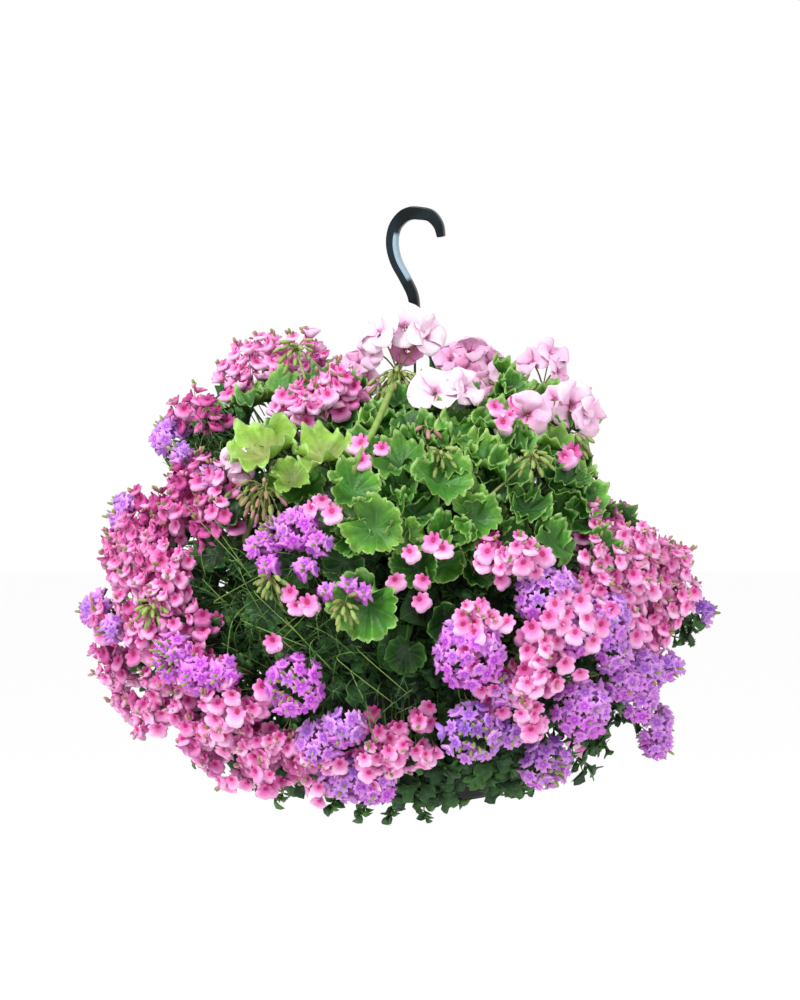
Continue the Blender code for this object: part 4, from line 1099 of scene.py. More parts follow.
# %% Knots of young buds among the leaves
# Across and down of the knot and of its stalk's foot, stand-off, reach, buds and tone
BUD_KNOTS = (
    (-118, 130, -105, 175, 16, 15, 18, 0.0), (117, 237, 72, 278, 26, 14, 16, 0.0),
    (25, 233, 14, 262, 20, 11, 12, 0.0), (-150, 268, -140, 240, 20, 24, 18, 0.5),
    (12, 206, 4, 178, 14, 9, 4, 0.6), (-70, 384, -62, 410, 18, 11, 14, 0.1),
    (-143, 359, -130, 390, 16, 11, 12, 0.1), (-262, 386, -250, 400, 16, 10, 12, 0.0),
)
knot_shape, knot_stalks, knot_rng = new_shape(), [], random.Random(31)
for across, down, foot_across, foot_down, stand_off, reach, buds, tone in BUD_KNOTS:
    place, facing = on_mass(across, down, stand_off)
    foot = on_mass(foot_across, foot_down, 2)[0]
    heading = facing - UP * tone * 2 - Vector((0, 0.3, 0))
    add_buds(knot_shape, knot_stalks, place, heading, reach * MM, buds, tone, knot_rng)
    stalk = [foot - facing * 50 * MM, foot, foot.lerp(place, 0.5), place]
    add_stalk(knot_stalks, stalk, 4, 1.9, 1.5, 0.2)
add_stems(knot_shape, knot_stalks, 1)
finish_piece("bud_knots", knot_shape, [PELARGONIUM_PETAL, BUD])
print("bud knots:", len(BUD_KNOTS))

# %% [markdown]
# ## The pelargonium leaves
# The blade is a pleated cup, notched where its stalk joins, with shallow scalloped lobes and
# a ruffled edge. It grows ring by ring from a disc, and then gets a thin body. A few such
# blades, turned and toned differently, make a bush that does not repeat visibly. Leaves that
# are partly hidden have fewer teeth, and those in the shade are only folded discs.

# %% Blades
BLADE_RINGS = (0.15, 0.4, 0.64, 0.84, 1.0)
SHADE_RINGS = (0.45, 1.0)
BLADE_TEETH, PLAIN_TEETH, SHADE_TEETH = 24, 13, 4
BLADE_KINDS, SHADE_KINDS = 9, 4
CORNERS_A_TOOTH = 4
BLADE_LOBES = 7
# How deep the lobes, teeth, notch and pleats are, as shares of the blade's radius
LOBE_DEPTH, TOOTH_DEPTH, NOTCH_DEPTH, PLEAT_DEPTH = 0.09, 0.08, 0.6, 0.11
# Waves of the edge all round, broad and narrow
BROAD_WAVES, NARROW_WAVES = 4, 11
BLADE_THICKNESS = 0.016


def pelargonium_blade(seed, teeth, rings):
    """A blade of unit radius that opens towards +Z, its notch at -X."""
    rng = random.Random(seed)
    bm = ringed_disc(teeth * CORNERS_A_TOOTH, rings)
    first, second = rng.uniform(0, math.tau), rng.uniform(0, math.tau)
    cup, fold, droop = rng.uniform(0.3, 0.72), rng.uniform(-0.15, 0.3), rng.uniform(0.1, 0.6)
    wave, frill = rng.uniform(0.12, 0.22), rng.uniform(0.1, 0.16)
    for vert in bm.verts:
        reach = vert.co.length
        angle = polar(vert.co)
        lobe = 1 - LOBE_DEPTH * (1 - abs(math.cos(angle * BLADE_LOBES / 2)) ** 0.5)
        tooth = 1 - TOOTH_DEPTH * (1 - abs(math.cos(angle * teeth / 2)) ** 0.6)
        notch = 1 - NOTCH_DEPTH * max(0.0, -math.cos(angle)) ** 30
        vert.co.xy *= 1 + (lobe * tooth * notch - 1) * reach**2
        # The pleats fade out towards the edge, where the ruffles begin
        pleat = PLEAT_DEPTH * math.cos(angle * BLADE_LOBES) * reach**1.5 * (1 - 0.75 * reach**3)
        ruffle = wave * math.sin(BROAD_WAVES * angle + first) * reach**2.5
        ruffle += frill * math.sin(NARROW_WAVES * angle + second) * reach**4
        vert.co.z = cup * reach**1.4 + fold * abs(vert.co.y) ** 1.5 + pleat + ruffle
        vert.co.z -= droop * max(0.0, vert.co.x) ** 2
        # What rises draws its outline in
        vert.co.xy *= 1 - 0.2 * reach
    bmesh.ops.solidify(bm, geom=bm.faces[:], thickness=BLADE_THICKNESS)
    return template(bm)


def blade_kinds(count, teeth, rings):
    """Blades of one make that differ in how they fold and ruffle."""
    return [pelargonium_blade(seed, teeth, rings) for seed in range(count)]


BLADES = blade_kinds(BLADE_KINDS, BLADE_TEETH, BLADE_RINGS)
PLAIN_BLADES = blade_kinds(BLADE_KINDS, PLAIN_TEETH, BLADE_RINGS[1:])
SHADE_BLADES = blade_kinds(SHADE_KINDS, SHADE_TEETH, SHADE_RINGS)
print("blade faces:", [len(kind[0].polygons) for kind in (BLADES, PLAIN_BLADES, SHADE_BLADES)])

# %% [markdown]
# The leaves in front can be told apart, so each is placed one by one where it is seen: across,
# down, breadth, stand-off from the mass, how far it faces up, and tone.

# %% Leaves in front
FRONT_LEAVES = (
    (-149, 236, 90, 14, 0.35, 1.0), (-90, 238, 76, 16, 0.35, 0.95),
    (-122, 260, 50, 16, 0.2, 0.9), (-197, 332, 56, -20, 0.0, 0.05),
    (-218, 419, 56, -24, 0.0, 0.05), (-262, 451, 50, -26, 0.0, 0.05),
    (-195, 184, 50, -28, 0.1, 0.1), (-240, 300, 54, -28, 0.0, 0.05),
    (-258, 360, 54, -28, 0.0, 0.05),
    (-18, 210, 54, -26, 0.3, 0.2), (-44, 192, 50, -40, 0.3, 0.1), (184, 306, 44, -36, 0.1, 0.1),
    (-196, 230, 62, -30, 0.0, 0.1), (-172, 210, 56, -26, 0.1, 0.15), (-166, 254, 58, -16, 0.0, 0.1),
    (-216, 252, 56, -30, 0.0, 0.05), (-196, 200, 54, -30, 0.1, 0.2), (-228, 226, 50, -36, 0.0, 0.1),
    (-135, 264, 40, 8, 0.1, 0.75), (-163, 186, 54, -2, 0.2, 0.4), (-90, 163, 60, -8, 0.4, 0.3),
    (-180, 294, 56, -6, 0.1, 0.15), (-66, 176, 54, -20, 0.5, 0.35), (-14, 245, 68, 6, 0.45, 0.6),
    (-62, 272, 66, 16, 0.3, 0.6), (-40, 308, 74, 12, 0.0, 0.68), (26, 264, 78, 10, 0.4, 0.6),
    (44, 214, 64, 4, 0.5, 0.65), (78, 206, 62, 2, 0.45, 0.6), (18, 190, 56, -6, 0.45, 0.5),
    (90, 258, 64, 4, 0.35, 0.5), (60, 300, 64, 4, 0.2, 0.62), (112, 290, 58, 2, 0.2, 0.4),
    (138, 322, 58, 6, 0.0, 0.5), (152, 262, 54, 0, 0.15, 0.35), (182, 330, 56, 4, 0.1, 0.4),
    (-46, 384, 88, 4, 0.1, 0.55), (-118, 346, 52, -14, 0.1, 0.2), (2, 348, 58, -8, 0.15, 0.3),
    (-150, 390, 54, -14, 0.0, 0.15), (58, 352, 52, -14, 0.15, 0.3), (30, 400, 54, -16, 0.1, 0.2),
    (-10, 430, 50, -20, 0.0, 0.15), (-92, 300, 56, -4, 0.15, 0.4), (-128, 212, 54, -10, 0.3, 0.5),
    (100, 180, 54, -8, 0.4, 0.5), (0, 294, 58, -4, 0.2, 0.45), (-110, 268, 58, -4, 0.3, 0.55),
    (30, 322, 54, -4, 0.1, 0.5), (124, 232, 58, -2, 0.3, 0.4), (70, 242, 60, 8, 0.3, 0.65),
    (-56, 232, 56, -4, 0.4, 0.4), (160, 300, 50, -4, 0.1, 0.3), (-70, 342, 56, -12, 0.1, 0.25),
    (92, 322, 52, -8, 0.1, 0.35), (-20, 272, 54, 0, 0.3, 0.5), (52, 276, 50, 4, 0.2, 0.7),
    (10, 225, 56, -2, 0.4, 0.45), (-72, 205, 54, -16, 0.4, 0.35), (44, 246, 48, 8, 0.5, 0.66),
    (140, 205, 50, -8, 0.3, 0.4), (-30, 200, 54, -8, 0.5, 0.4), (100, 228, 52, 4, 0.4, 0.55),
    (-10, 318, 50, 6, 0.1, 0.7), (170, 290, 48, -6, 0.2, 0.2), (-60, 318, 48, 0, 0.1, 0.5),
)
# Leaves this dark lie in the shade, where a plain blade is enough
DARK_TONE = 0.2


def front_leaves(rng):
    """The leaves that are listed one by one."""
    for across, down, breadth, stand_off, upward, tone in FRONT_LEAVES:
        place, facing = on_mass(across, down, stand_off)
        facing = facing.lerp(UP, upward) + 0.22 * any_way(rng)
        kinds = BLADES if tone > DARK_TONE else PLAIN_BLADES
        yield place, facing.normalized(), breadth * MM, tone, rng.choice(kinds)


print("leaves in front:", len(FRONT_LEAVES))

# %% [markdown]
# The other leaves need no hand. Some fill in between those in front, some follow the golden
# angle over the top and the back, and a deeper set, painted darker as shade, fills the shade
# between the stems. Each set is turned up by its own share, so the bush looks grown towards
# the light.

# %% Leaves over the rest of the mass
FILL_LEAVES = 46
FILL_ACROSS, FILL_DOWN = 50, 258
FILL_HALF_WIDE, FILL_HALF_HIGH = 130, 92
CROWN_LEAVES = 84
CROWN_WIDEST = 92
CROWN_TOP = -158 * MM
# No leaf of the crown stands in front of the tall stalk
STALK_X, STALK_TOP = (-80 * MM, -5 * MM), -225 * MM
SHADE_LEAVES = 270
SHADE_WIDEST = 128
# Every second leaf in the shade lies this much deeper, in mm
SHADE_STEP = -60
POT_CLEARANCE = 165 * MM
# Over its two shoulders the mass falls short of its ellipsoid
SHOULDER_X, SHOULDER_Z = 160 * MM, -300 * MM
SIDE_X = 218 * MM
LEFT_SHOULDER_X, LEFT_SIDE_X = -205 * MM, -265 * MM
SHADE_SHOULDER_X = SHOULDER_X - 30 * MM
RIM_Z = -0.398


def turned_leaf(rng, place, facing, upward, sway, breadths, tones, blades):
    """One leaf that faces part of the way up, of a random breadth in mm, tone and blade."""
    facing = facing.lerp(UP, upward) + sway * any_way(rng)
    breadth, tone = rng.uniform(*breadths) * MM, rng.uniform(*tones)
    return place, facing.normalized(), breadth, tone, rng.choice(blades)


def fill_leaves(rng):
    """Leaves between those in front."""
    for index in range(FILL_LEAVES):
        share, around = math.sqrt((index + 0.5) / FILL_LEAVES), index * GOLDEN_ANGLE
        across = FILL_ACROSS + FILL_HALF_WIDE * share * math.cos(around)
        down = FILL_DOWN + FILL_HALF_HIGH * share * math.sin(around)
        place, facing = on_mass(across, down, rng.uniform(-16, 2))
        upward = rng.uniform(0.1, 0.5)
        yield turned_leaf(rng, place, facing, upward, 0.3, (44, 58), (0.3, 0.75), PLAIN_BLADES)


def crown_leaves(rng):
    """Leaves over the top and the back."""
    for index in range(CROWN_LEAVES):
        way = dome_way((index + 0.5) / CROWN_LEAVES, index * GOLDEN_ANGLE, CROWN_WIDEST)
        # The front has its own leaves, so these move round to the back
        if way.y < -0.25 and way.z < 0.8:
            way.y = -way.y
        place, facing = off_middle(way, rng.uniform(-34, 0))
        by_stalk = STALK_X[0] < place.x < STALK_X[1] and place.y < 0
        if place.z > (STALK_TOP if by_stalk else CROWN_TOP):
            continue
        place.x = min(place.x, SHOULDER_X if place.z > SHOULDER_Z else SIDE_X)
        place.x = max(place.x, LEFT_SHOULDER_X if place.z > SHOULDER_Z else LEFT_SIDE_X)
        upward = rng.uniform(0.1, 0.45)
        yield turned_leaf(rng, place, facing, upward, 0.25, (52, 74), (0.2, 0.65), PLAIN_BLADES)


def shade_leaves(rng):
    """Dark leaves deep between the stems, clear of the pot and of the gap in front."""
    for index in range(SHADE_LEAVES):
        way = dome_way((index + 0.5) / SHADE_LEAVES, index * GOLDEN_ANGLE, SHADE_WIDEST)
        deep = SHADE_STEP if index % 2 else 0
        place, facing = off_middle(way, rng.uniform(-80, -36) + deep)
        if (place.z < RIM_Z and place.xy.length < POT_CLEARANCE) or in_gap(place):
            continue
        place.x = min(place.x, SIDE_X if place.z < SHOULDER_Z else SHADE_SHOULDER_X)
        # Painted shade: these deep leaves get the darkest tones, from 0 to 0.15
        yield turned_leaf(rng, place, facing, 0.2, 0.4, (44, 62), (0, 0.15), SHADE_BLADES)


def leaf_places():
    """Every leaf's place, facing, breadth in metres, tone and blade."""
    rng = random.Random(11)
    for leaves in (front_leaves, fill_leaves, crown_leaves, shade_leaves):
        yield from leaves(rng)


print("leaves that a rule places, at most:", FILL_LEAVES + CROWN_LEAVES + SHADE_LEAVES)

# %% [markdown]
# A pelargonium's fleshy stem forks a little above the soil. Every leaf stalk starts at a near
# point of it, and so do the thick stalks of the umbels, so nothing hangs in the air.

# %% Pelargonium stems
PELARGONIUM_ROOTS = (-90, 30, 150)
SOIL_TOP = -0.418
# The branches of a fork: degrees to the side, and rise in mm
BRANCHES = ((-47, 44), (6, 36), (39, 40))


def stem_skeleton(degrees):
    """The forked stems of one pelargonium, as paths with two radii."""
    away = level_way(degrees)
    root = away * 42 * MM + UP * SOIL_TOP
    fork = root + away * 12 * MM + UP * 75 * MM
    runs = [([root - UP * 20 * MM, root + UP * 30 * MM, fork], 4.5, 4)]
    for spread, rise in BRANCHES:
        aim = Matrix.Rotation(math.radians(spread), 3, "Z") @ away
        tip = fork + aim * 84 * MM + UP * rise * MM
        runs.append(([fork - UP * 10 * MM, fork.lerp(tip, 0.5) + UP * 4 * MM, tip], 3.5, 2.4))
    top = fork + away * 8 * MM + UP * 112 * MM
    runs.append(([fork - UP * 8 * MM, fork + UP * 50 * MM, top], 3.5, 2.4))
    stems = []
    for points, first, last in runs:
        add_stalk(stems, points, 4, first, last, 0.4)
    return stems


def nearest_point(paths, place):
    """The point on some stems that lies nearest to a place."""
    points = [point for path, *_ in paths for point in path[1:]]
    return min(points, key=lambda point: (point - place).length)


def nearest_heading(place, headings):
    """Which of some headings round the basket a place lies nearest to."""
    return max(range(len(headings)), key=lambda i: place.dot(level_way(headings[i])))


print("stems of one plant:", len(stem_skeleton(0)))

# %% Pelargonium plants
# Two points of the tall stalk: across, down and stand-off
TALL_STALK_BOW, TALL_STALK_BEND = (-60, 256, 14), (-38, 202, 22)
plants = [new_shape() for _ in PELARGONIUM_ROOTS]
skeletons = [stem_skeleton(degrees) for degrees in PELARGONIUM_ROOTS]
stalk_lists = [list(paths) for paths in skeletons]
leaf_rng = random.Random(5)
leaf_count = 0
for place, facing, breadth, tone, blade in leaf_places():
    owner = nearest_heading(place, PELARGONIUM_ROOTS)
    start = nearest_point(skeletons[owner], place - facing * 55 * MM - UP * 20 * MM)
    turn = frame_at(place, facing, place - start)
    spin = Matrix.Rotation(leaf_rng.uniform(-0.6, 0.6), 4, "Z")
    add_copy(plants[owner], blade, turn @ spin @ Matrix.Scale(breadth / 2, 4), tone)
    elbow = start.lerp(place, 0.6) - facing * 12 * MM + UP * 4 * MM
    add_stalk(stalk_lists[owner], [start, elbow, place], 3, 1.4, 1.0, 0.3)
    leaf_count += 1
for number, foot in enumerate(umbel_feet, 1):
    owner = nearest_heading(foot, PELARGONIUM_ROOTS)
    facing = outward(foot / MM)
    start = nearest_point(skeletons[owner], foot - facing * 90 * MM - UP * 30 * MM)
    bow = foot + VIEW_TOWARDS * 10 * MM - UP * 60 * MM
    bend = bow.lerp(foot, 0.5)
    # The first umbel's tall stalk stands in front of the leaves
    if number == 1:
        bow, bend = on_mass(*TALL_STALK_BOW)[0], on_mass(*TALL_STALK_BEND)[0]
    add_stalk(stalk_lists[owner], [start, bow, bend, foot], 8, 3.6, 3.0, 0.8)
for index, shape in enumerate(plants):
    add_stems(shape, stalk_lists[index], 1, 1)
    node = f"pelargonium_plant_{index + 1}"
    finish_piece(node + "_leaves", shape, [PELARGONIUM_LEAF, STEM], [node])
print("pelargonium leaves:", leaf_count)

# %% [markdown]
# ## The trailing plants
# Verbena and twinspur root near the pot's rim. Their thin stems lie over it and carry small
# leaves all the way out, so the leaves hide the pot and fill the dark between the heads. A
# verbena leaf is cut into teeth, a twinspur leaf is a small oval, and the finest shoots have
# leaves as thin as needles.


# %% Small leaves
def small_leaf(sides, width, tooth):
    """A small pointed leaf of unit length along +X, as a thin closed lens."""
    bm = ringed_disc(sides, (1.0,))
    for vert in bm.verts:
        corner = round((polar(vert.co) % math.tau) / math.tau * sides)
        dent = tooth if corner % 2 and vert.co.length > 0.6 else 1.0
        along = (vert.co.x * dent + 1) / 2
        vert.co.y *= width * dent
        vert.co.x = along
        vert.co.z = 0.25 * along - 0.45 * along**2 + abs(vert.co.y) * 0.5
    close_behind(bm, Vector((0.5, 0, -0.05)))
    return template(bm)


def needle_leaf():
    """A three-sided needle of unit length along +X."""
    bm = new_shape()
    lie_down = Matrix.Translation((0.5, 0, 0)) @ Matrix.Rotation(math.pi / 2, 4, "Y")
    bmesh.ops.create_cone(
        bm, cap_ends=True, segments=3, radius1=0.04, radius2=0.01, depth=1, matrix=lie_down
    )
    return template(bm)


VERBENA_BLADE = small_leaf(14, 0.36, 0.55)
TWINSPUR_BLADE = small_leaf(8, 0.34, 0.9)
NEEDLE = needle_leaf()
print("small leaf faces:", [len(m.polygons) for m in (VERBENA_BLADE, TWINSPUR_BLADE, NEEDLE)])

# %% Trailing stems
VERBENA_ROOTS = (-60, 30, 120, 210)
TWINSPUR_ROOTS = (-105, -15, 75, 165)
TRAILER_ROOT = 108 * MM
RIM_RADIUS = 150 * MM
# A stem that ends lower than this passes over the rim
OVER_RIM_Z = RIM_Z + 60 * MM
# Leaves grow only this near the light, a pair to each step, and none on the first few steps
LEAF_DEPTH = 80 * MM
LEAF_STEP = 10 * MM
BARE_STEPS = 5
# Ends of the leafy shoots that hang lowest in front: across, down and stand-off
HANGING_ENDS = (
    (-10, 545, -4), (5, 562, -4), (25, 572, -2), (70, 552, 0), (85, 560, 0), (95, 548, 2),
    (60, 536, -6), (110, 556, 0), (40, 560, -4), (-30, 574, -4), (-120, 556, -4), (78, 540, 4),
    (-150, 558, -4), (-180, 556, -6), (-205, 540, -6), (50, 520, -10), (95, 530, -8),
    (66, 505, -14), (30, 548, 2), (-2, 575, 0), (88, 570, -6), (130, 545, -6),
)


def trailing_path(root, seat, facing):
    """A stem from its root over the rim and out to the underside of a head."""
    away = Vector((seat.x, seat.y, 0)).normalized()
    points = [root, root + UP * 36 * MM]
    if seat.z < OVER_RIM_Z:
        points.append(away * (RIM_RADIUS + 26 * MM) + UP * (RIM_Z + 16 * MM))
    points += [seat - facing * 30 * MM, seat]
    return smooth_path(points, 5)


def add_leafy_stem(bm, stems, path, blade, length, tone, rng):
    """Lay leaves along a stem, a pair about every centimetre, each pair turned."""
    stems.append((path, 1.2 * MM, 0.7 * MM, tone))
    bare = BARE_STEPS
    for a, b in zip(path[1:], path[2:]):
        parts = max(1, round((b - a).length / LEAF_STEP))
        for part in range(parts):
            spot = a.lerp(b, (part + 1) / parts)
            bare -= 1
            surface, out = lifted(spot, 0)
            if bare > 0 or (surface - spot).length > LEAF_DEPTH or in_gap(spot):
                continue
            for side in (-1, 1):
                way = UP.cross(out) * side + out * rng.uniform(-0.1, 0.9)
                way += UP * rng.uniform(-0.8, 0.6)
                upper = out + UP * rng.uniform(0.1, 0.9) + 0.3 * any_way(rng)
                size = Matrix.Scale(length * rng.uniform(0.6, 1.15), 4)
                add_copy(bm, blade, frame_at(spot, upper, way) @ size, rng.uniform(0.0, 0.9))


def shoot_ends(degrees, shoots, rng):
    """Places over one side of the mass where leafy shoots end, and their facings."""
    for _ in range(shoots):
        turn = math.radians(degrees) + rng.uniform(-0.85, 0.85)
        rise = rng.uniform(-0.9, 0.25)
        level = math.sqrt(1 - rise**2)
        way = Vector((math.cos(turn) * level, math.sin(turn) * level, rise))
        yield off_middle(way, rng.uniform(-34, 2))


print("shoots that hang lowest in front:", len(HANGING_ENDS))


# %% Verbena and twinspur plants
def build_trailers(kind, headings, head_names, leaf, blade, length, shoots, ends):
    """The plants of one kind: a stem to each head, and leafy shoots between them."""
    total = 0
    for index, degrees in enumerate(headings):
        node = f"{kind}_plant_{index + 1}"
        rng = random.Random(node)
        root = level_way(degrees) * TRAILER_ROOT + UP * (SOIL_TOP - 20 * MM)
        seats = list(shoot_ends(degrees, shoots, rng))
        places = [head_place(name) for name in head_names]
        seats += [(middle - facing * radius / 2, facing) for middle, facing, radius in places]
        seats += [on_mass(*end) for end in ends]
        shape, stems = new_shape(), []
        for number, (seat, facing) in enumerate(seats):
            if number >= shoots and nearest_heading(seat, headings) != index:
                continue
            path = trailing_path(root, seat, facing)
            tone = rng.choice((0.4, 0.7))
            add_leafy_stem(shape, stems, path, blade, length, tone, rng)
        add_stems(shape, stems, 1)
        total += len(stems)
        finish_piece(node + "_leaves", shape, [leaf, STEM], [node])
    return total


# Name, roots, heads, leaf, blade, its length, leafy shoots a plant and where others end
TRAILERS = (
    ("verbena", VERBENA_ROOTS, heads, VERBENA_LEAF, VERBENA_BLADE, 24 * MM, 22, HANGING_ENDS),
    ("twinspur", TWINSPUR_ROOTS, sprays, TWINSPUR_LEAF, TWINSPUR_BLADE, 14 * MM, 26, ()),
)
for trailer in TRAILERS:
    print(trailer[0], "stems:", build_trailers(*trailer))

# %% [markdown]
# Between the flowers stand shoots as fine as thread, with needles in pairs, and a few long
# bare stems lie over the leaves. They start inside the mass, where other stems carry them.

# %% Fine shoots
FINE_RADII = (0.55, 0.35)
# Patches of fine shoots: across, down, half width, half height and number of shoots
FINE_PATCHES = ((-150, 395, 90, 75, 70), (-198, 222, 32, 20, 34), (-20, 462, 50, 30, 6))
# Long bare stems: across and down of both ends
LONG_STEMS = (
    (-230, 284, -170, 348), (-222, 272, -164, 356), (-150, 422, -96, 378), (-140, 426, -88, 372),
    (-172, 400, -108, 426), (-76, 440, -22, 482), (-56, 430, -8, 472), (-200, 380, -150, 352),
    (-128, 400, -84, 448), (-160, 372, -120, 410),
)


def add_fine_shoot(bm, stems, start, end, bow, rng):
    """A thread-like shoot with needles in pairs along it."""
    middle = start.lerp(end, 0.5) + bow
    path = add_stalk(stems, [start, middle, end], 4, *FINE_RADII, rng.choice((0.4, 0.7)))
    for a, b in zip(path[2:], path[3:]):
        way = (b - a).normalized()
        for _ in range(2):
            aim = way + 0.9 * any_way(rng)
            size = Matrix.Scale(rng.uniform(9, 17) * MM, 4)
            add_copy(bm, NEEDLE, frame_at(a, any_way(rng), aim) @ size, rng.uniform(0.1, 0.8))


fine_shape, fine_stems, fine_rng = new_shape(), [], random.Random(41)
for across, down, half_wide, half_high, shoots in FINE_PATCHES:
    for _ in range(shoots):
        spot_across = across + fine_rng.uniform(-1, 1) * half_wide
        spot_down = down + fine_rng.uniform(-1, 1) * half_high
        end, facing = on_mass(spot_across, spot_down, fine_rng.uniform(-12, 14))
        sideways = any_way(fine_rng)
        start = end - facing * 48 * MM + sideways * 45 * MM - UP * 15 * MM
        bow = (facing * 16 + UP * 8) * MM
        add_fine_shoot(fine_shape, fine_stems, start, end, bow, fine_rng)
for across, down, far_across, far_down in LONG_STEMS:
    start, facing = on_mass(across, down, 4)
    end = on_mass(far_across, far_down, 10)[0]
    add_stalk(fine_stems, [start - facing * 20 * MM, start, end], 4, *FINE_RADII, 0.8)
add_stems(fine_shape, fine_stems, 1)
finish_piece("twinspur_fine_shoots", fine_shape, [TWINSPUR_LEAF, STEM])
print("fine shoots:", len(fine_stems))

# %% [markdown]
# ## Pot, soil, hook and wires
# The pot and its soil are turned shapes, so a half outline spun about the axis makes each.
# The soil's top is domed, and its points are nudged up and down to look crumbled.

# %% Pot and soil
POT_BASE = RIM_Z - 0.170
POT_SEGMENTS, SOIL_SEGMENTS = 96, 64
CRUMB = 1.5 * MM


def spun(profile, segments):
    """Spin a half outline, given as radii and heights, into a closed turned shape."""
    bm = new_shape()
    verts = [bm.verts.new((radius, 0, height)) for radius, height in profile]
    edges = [bm.edges.new(pair) for pair in zip(verts, verts[1:])]
    bmesh.ops.spin(
        bm,
        geom=verts + edges,
        cent=(0, 0, 0),
        axis=(0, 0, 1),
        angle=math.tau,
        steps=segments,
        use_merge=True,
    )
    bmesh.ops.remove_doubles(bm, verts=bm.verts[:], dist=WELD)
    bmesh.ops.recalc_face_normals(bm, faces=bm.faces[:])
    return bm


POT_PROFILE = (
    (0, POT_BASE + 0.0025), (0.0915, POT_BASE + 0.0025), (0.0955, POT_BASE + 0.0065),
    (0.1400, RIM_Z - 0.008), (0.1405, RIM_Z - 0.001), (0.1425, RIM_Z), (0.1485, RIM_Z),
    (0.1500, RIM_Z - 0.0015), (0.1500, RIM_Z - 0.0030), (0.1490, RIM_Z - 0.004),
    (0.1430, RIM_Z - 0.004), (0.1405, RIM_Z - 0.016), (0.1416, RIM_Z - 0.018),
    (0.1400, RIM_Z - 0.021), (0.0990, POT_BASE + 0.005), (0.0965, POT_BASE + 0.001),
    (0.0940, POT_BASE), (0, POT_BASE),
)
pot_shape = spun(POT_PROFILE, POT_SEGMENTS)
finish_piece("pot_shell", pot_shape, [POT_PLASTIC], ["pot"])

SOIL_PROFILE = (
    (0, SOIL_TOP + 0.008), (0.025, SOIL_TOP + 0.0078), (0.050, SOIL_TOP + 0.0066),
    (0.075, SOIL_TOP + 0.0048), (0.100, SOIL_TOP + 0.0028), (0.120, SOIL_TOP + 0.0012),
    (0.1340, SOIL_TOP - 0.001), (0.0948, POT_BASE + 0.009), (0.0905, POT_BASE + 0.003),
    (0, POT_BASE + 0.003),
)
soil_shape = spun(SOIL_PROFILE, SOIL_SEGMENTS)
crumb_rng = random.Random(3)
for vert in soil_shape.verts:
    if vert.co.z > SOIL_TOP - 0.0005 and vert.co.xy.length > 0.001:
        vert.co.z += crumb_rng.uniform(-CRUMB, CRUMB)
finish_piece("peat_fill", soil_shape, [PEAT], ["soil"])
print("pot depth in mm:", round((RIM_Z - POT_BASE) / MM))

# %% [markdown]
# The hook was moulded flat: a band of changing width, which gets its thickness and rounded
# edges at once. A curve with a round bevel would be quicker, but the real band isn't round.

# %% Hook
HOOK_TURN = math.radians(-20)
HOOK_THICKNESS = 9 * MM
# Points along the band: across, height and width in mm
HOOK_LINE = (
    (27.5, -17, 7), (24.5, -5, 9.5), (16, 4.2, 12), (4, 6.5, 13), (-4, 6.5, 13),
    (-13, 2.6, 12.5), (-21.5, -8, 11.5), (-24, -24, 11.5), (-20, -41, 11),
    (-10.5, -58, 10.5), (-2.5, -74, 10), (0, -90, 9), (0, -104, 9),
)
HOOK_BEVEL = 1.3 * MM
SHARP_ANGLE = math.radians(50)
# Across the band, from its inner edge: the place of each line of points, and its share of
# the painted highlight
BAND_LINES = ((1, 1), (0.4, 1), (0.1, 0), (-1, 0))
HUB_SEGMENTS = 32
HUB_PROFILE = (
    (0, -0.0998), (0.0070, -0.0998), (0.0082, -0.1008), (0.0098, -0.1068), (0.0088, -0.108),
    (0, -0.108),
)


def hook_shape():
    """The moulded band as a flat strip with a body and rounded edges, and its round hub."""
    line = smooth_path([Vector(point) for point in HOOK_LINE], 5)
    bm = new_shape()
    # The `across` layer carries each point's share of the painted highlight
    highlight_layer = bm.verts.layers.float["across"]
    strips = []
    for index, place in enumerate(line):
        along = (line[min(index + 1, len(line) - 1)] - line[max(index - 1, 0)]).xy.normalized()
        across = Vector((-along.y, along.x)) * place.z / 2
        # A painted highlight below the crown, on the inner side
        painted_highlight = math.sin(math.pi * min(1.0, max(0.0, index / (len(line) - 1) * 2.4 - 1.05)))
        strip = []
        for side, share in BAND_LINES:
            spot = place.xy + across * side
            strip.append(bm.verts.new((spot.x * MM, 0, spot.y * MM)))
            strip[-1][highlight_layer] = painted_highlight * share
        strips.append(strip)
    for first, second in zip(strips, strips[1:]):
        for a, b, c, d in zip(first, first[1:], second, second[1:]):
            bm.faces.new((a, b, d, c))
    bmesh.ops.translate(bm, vec=(0, -HOOK_THICKNESS / 2, 0), verts=bm.verts[:])
    grown = bmesh.ops.extrude_face_region(bm, geom=bm.faces[:])["geom"]
    far = [part for part in grown if isinstance(part, bmesh.types.BMVert)]
    bmesh.ops.translate(bm, vec=(0, HOOK_THICKNESS, 0), verts=far)
    bmesh.ops.recalc_face_normals(bm, faces=bm.faces[:])
    bm.normal_update()
    sharp = [edge for edge in bm.edges if edge.calc_face_angle(0) > SHARP_ANGLE]
    bmesh.ops.bevel(
        bm, geom=sharp, offset=HOOK_BEVEL, segments=3, profile=0.5, affect="EDGES", material=-1
    )
    turn = Matrix.Rotation(HOOK_TURN, 3, "Z")
    bmesh.ops.rotate(bm, cent=(0, 0, 0), matrix=turn, verts=bm.verts[:])
    hub = template(spun(HUB_PROFILE, HUB_SEGMENTS))
    bm.from_mesh(hub)
    return bm


finish_piece("hook_band", hook_shape(), [HOOK_PLASTIC], ["hook"])
print("hook triangles:", TRIANGLES["hook_band"])

# %% [markdown]
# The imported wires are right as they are, so they only get a better surface.

# %% Wires
wires = nodes_named("hanger_wire")
for name in wires:
    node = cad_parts[name]
    node.data.materials.clear()
    node.data.materials.append(WIRE_COAT)
print("wires:", len(wires))

# %% [markdown]
# ## Floor, light and camera
# A pale floor and an even white surround keep the colours true. One large soft light from
# the upper left shapes the flowers, and a weaker one opens the shadows on the right.

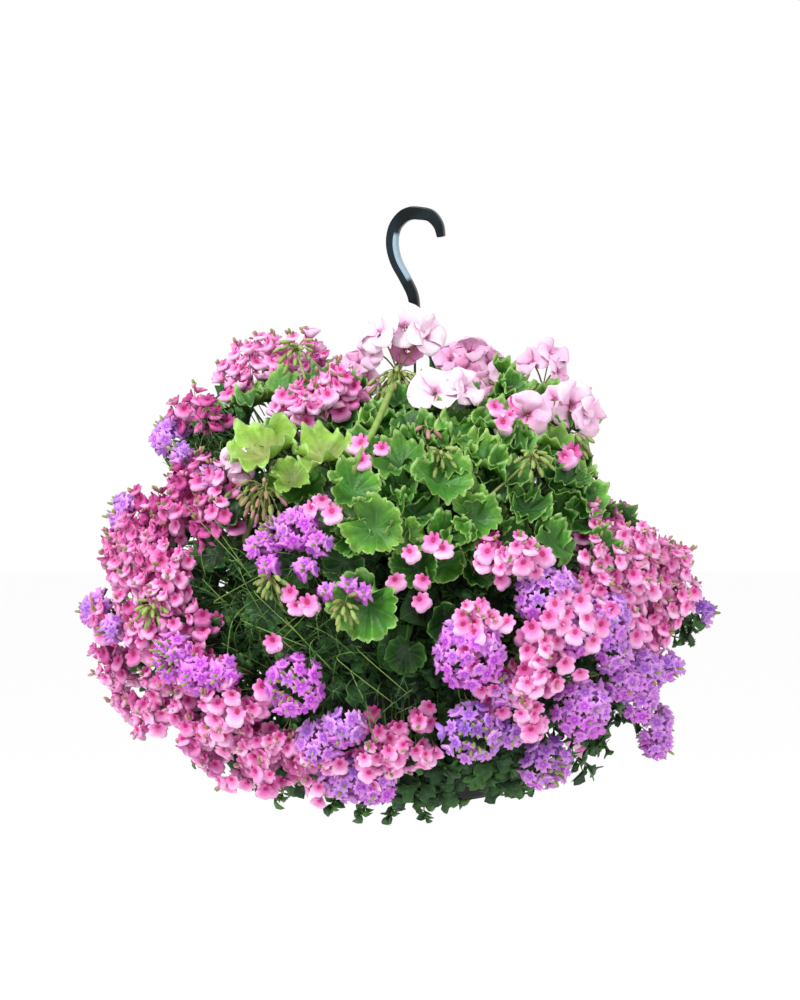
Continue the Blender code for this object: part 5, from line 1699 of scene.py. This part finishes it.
# %% Floor and surround
FLOOR_RADIUS, FLOOR_Z = 14, -1.9
floor_shape = new_shape()
bmesh.ops.create_circle(floor_shape, cap_ends=True, segments=64, radius=FLOOR_RADIUS)
bmesh.ops.translate(floor_shape, vec=(0, 0, FLOOR_Z), verts=floor_shape.verts[:])
floor_mesh = bpy.data.meshes.new("floor")
floor_shape.to_mesh(floor_mesh)
floor_shape.free()
floor = bpy.data.objects.new("floor", floor_mesh)
bpy.context.scene.collection.objects.link(floor)
floor_paint, _, floor_shader = start_material("pale floor", 1.0)
floor_shader.inputs["Base Color"].default_value = linear("#FCFCFC")
floor_mesh.materials.append(floor_paint)

world = bpy.data.worlds.new("pale surround")
bpy.context.scene.world = world
world.use_nodes = True
background = world.node_tree.nodes["Background"]
background.inputs["Color"].default_value = linear("#FFFFFF")
background.inputs["Strength"].default_value = 1.0
bpy.context.scene.view_settings.view_transform = "Standard"
print("floor at", FLOOR_Z, "m")

# %% Lights and camera
KEY_PLACE = Vector((-1.4, -1.8, 1.9))
FILL_PLACE = Vector((1.9, -1.6, 0.3))
CENTRE = VIEW_AIM * MM
# Name, place, width in metres and power in watts
LAMPS = (("key", KEY_PLACE, 0.9, 74), ("fill", FILL_PLACE, 1.8, 8))
for name, place, width, power in LAMPS:
    lamp = bpy.data.lights.new(name, "AREA")
    lamp.size = width
    lamp.energy = power
    light = bpy.data.objects.new(name, lamp)
    light.location = place
    light.rotation_euler = (CENTRE - place).to_track_quat("-Z", "Y").to_euler()
    bpy.context.scene.collection.objects.link(light)

camera_data = bpy.data.cameras.new("camera")
camera_data.sensor_fit = "VERTICAL"
camera_data.angle = 2 * math.atan(0.5 * VIEW_HEIGHT / VIEW_DISTANCE)
camera = bpy.data.objects.new("camera", camera_data)
camera.location = CENTRE + VIEW_TOWARDS * VIEW_DISTANCE * MM
camera.rotation_euler = (-VIEW_TOWARDS).to_track_quat("-Z", "Y").to_euler()
bpy.context.scene.collection.objects.link(camera)
bpy.context.scene.camera = camera
print("camera at", [round(c, 3) for c in camera.location])

# %% Write down the sizes and finish
print("added triangles:", sum(TRIANGLES.values()), "most in one:", max(TRIANGLES.values()))
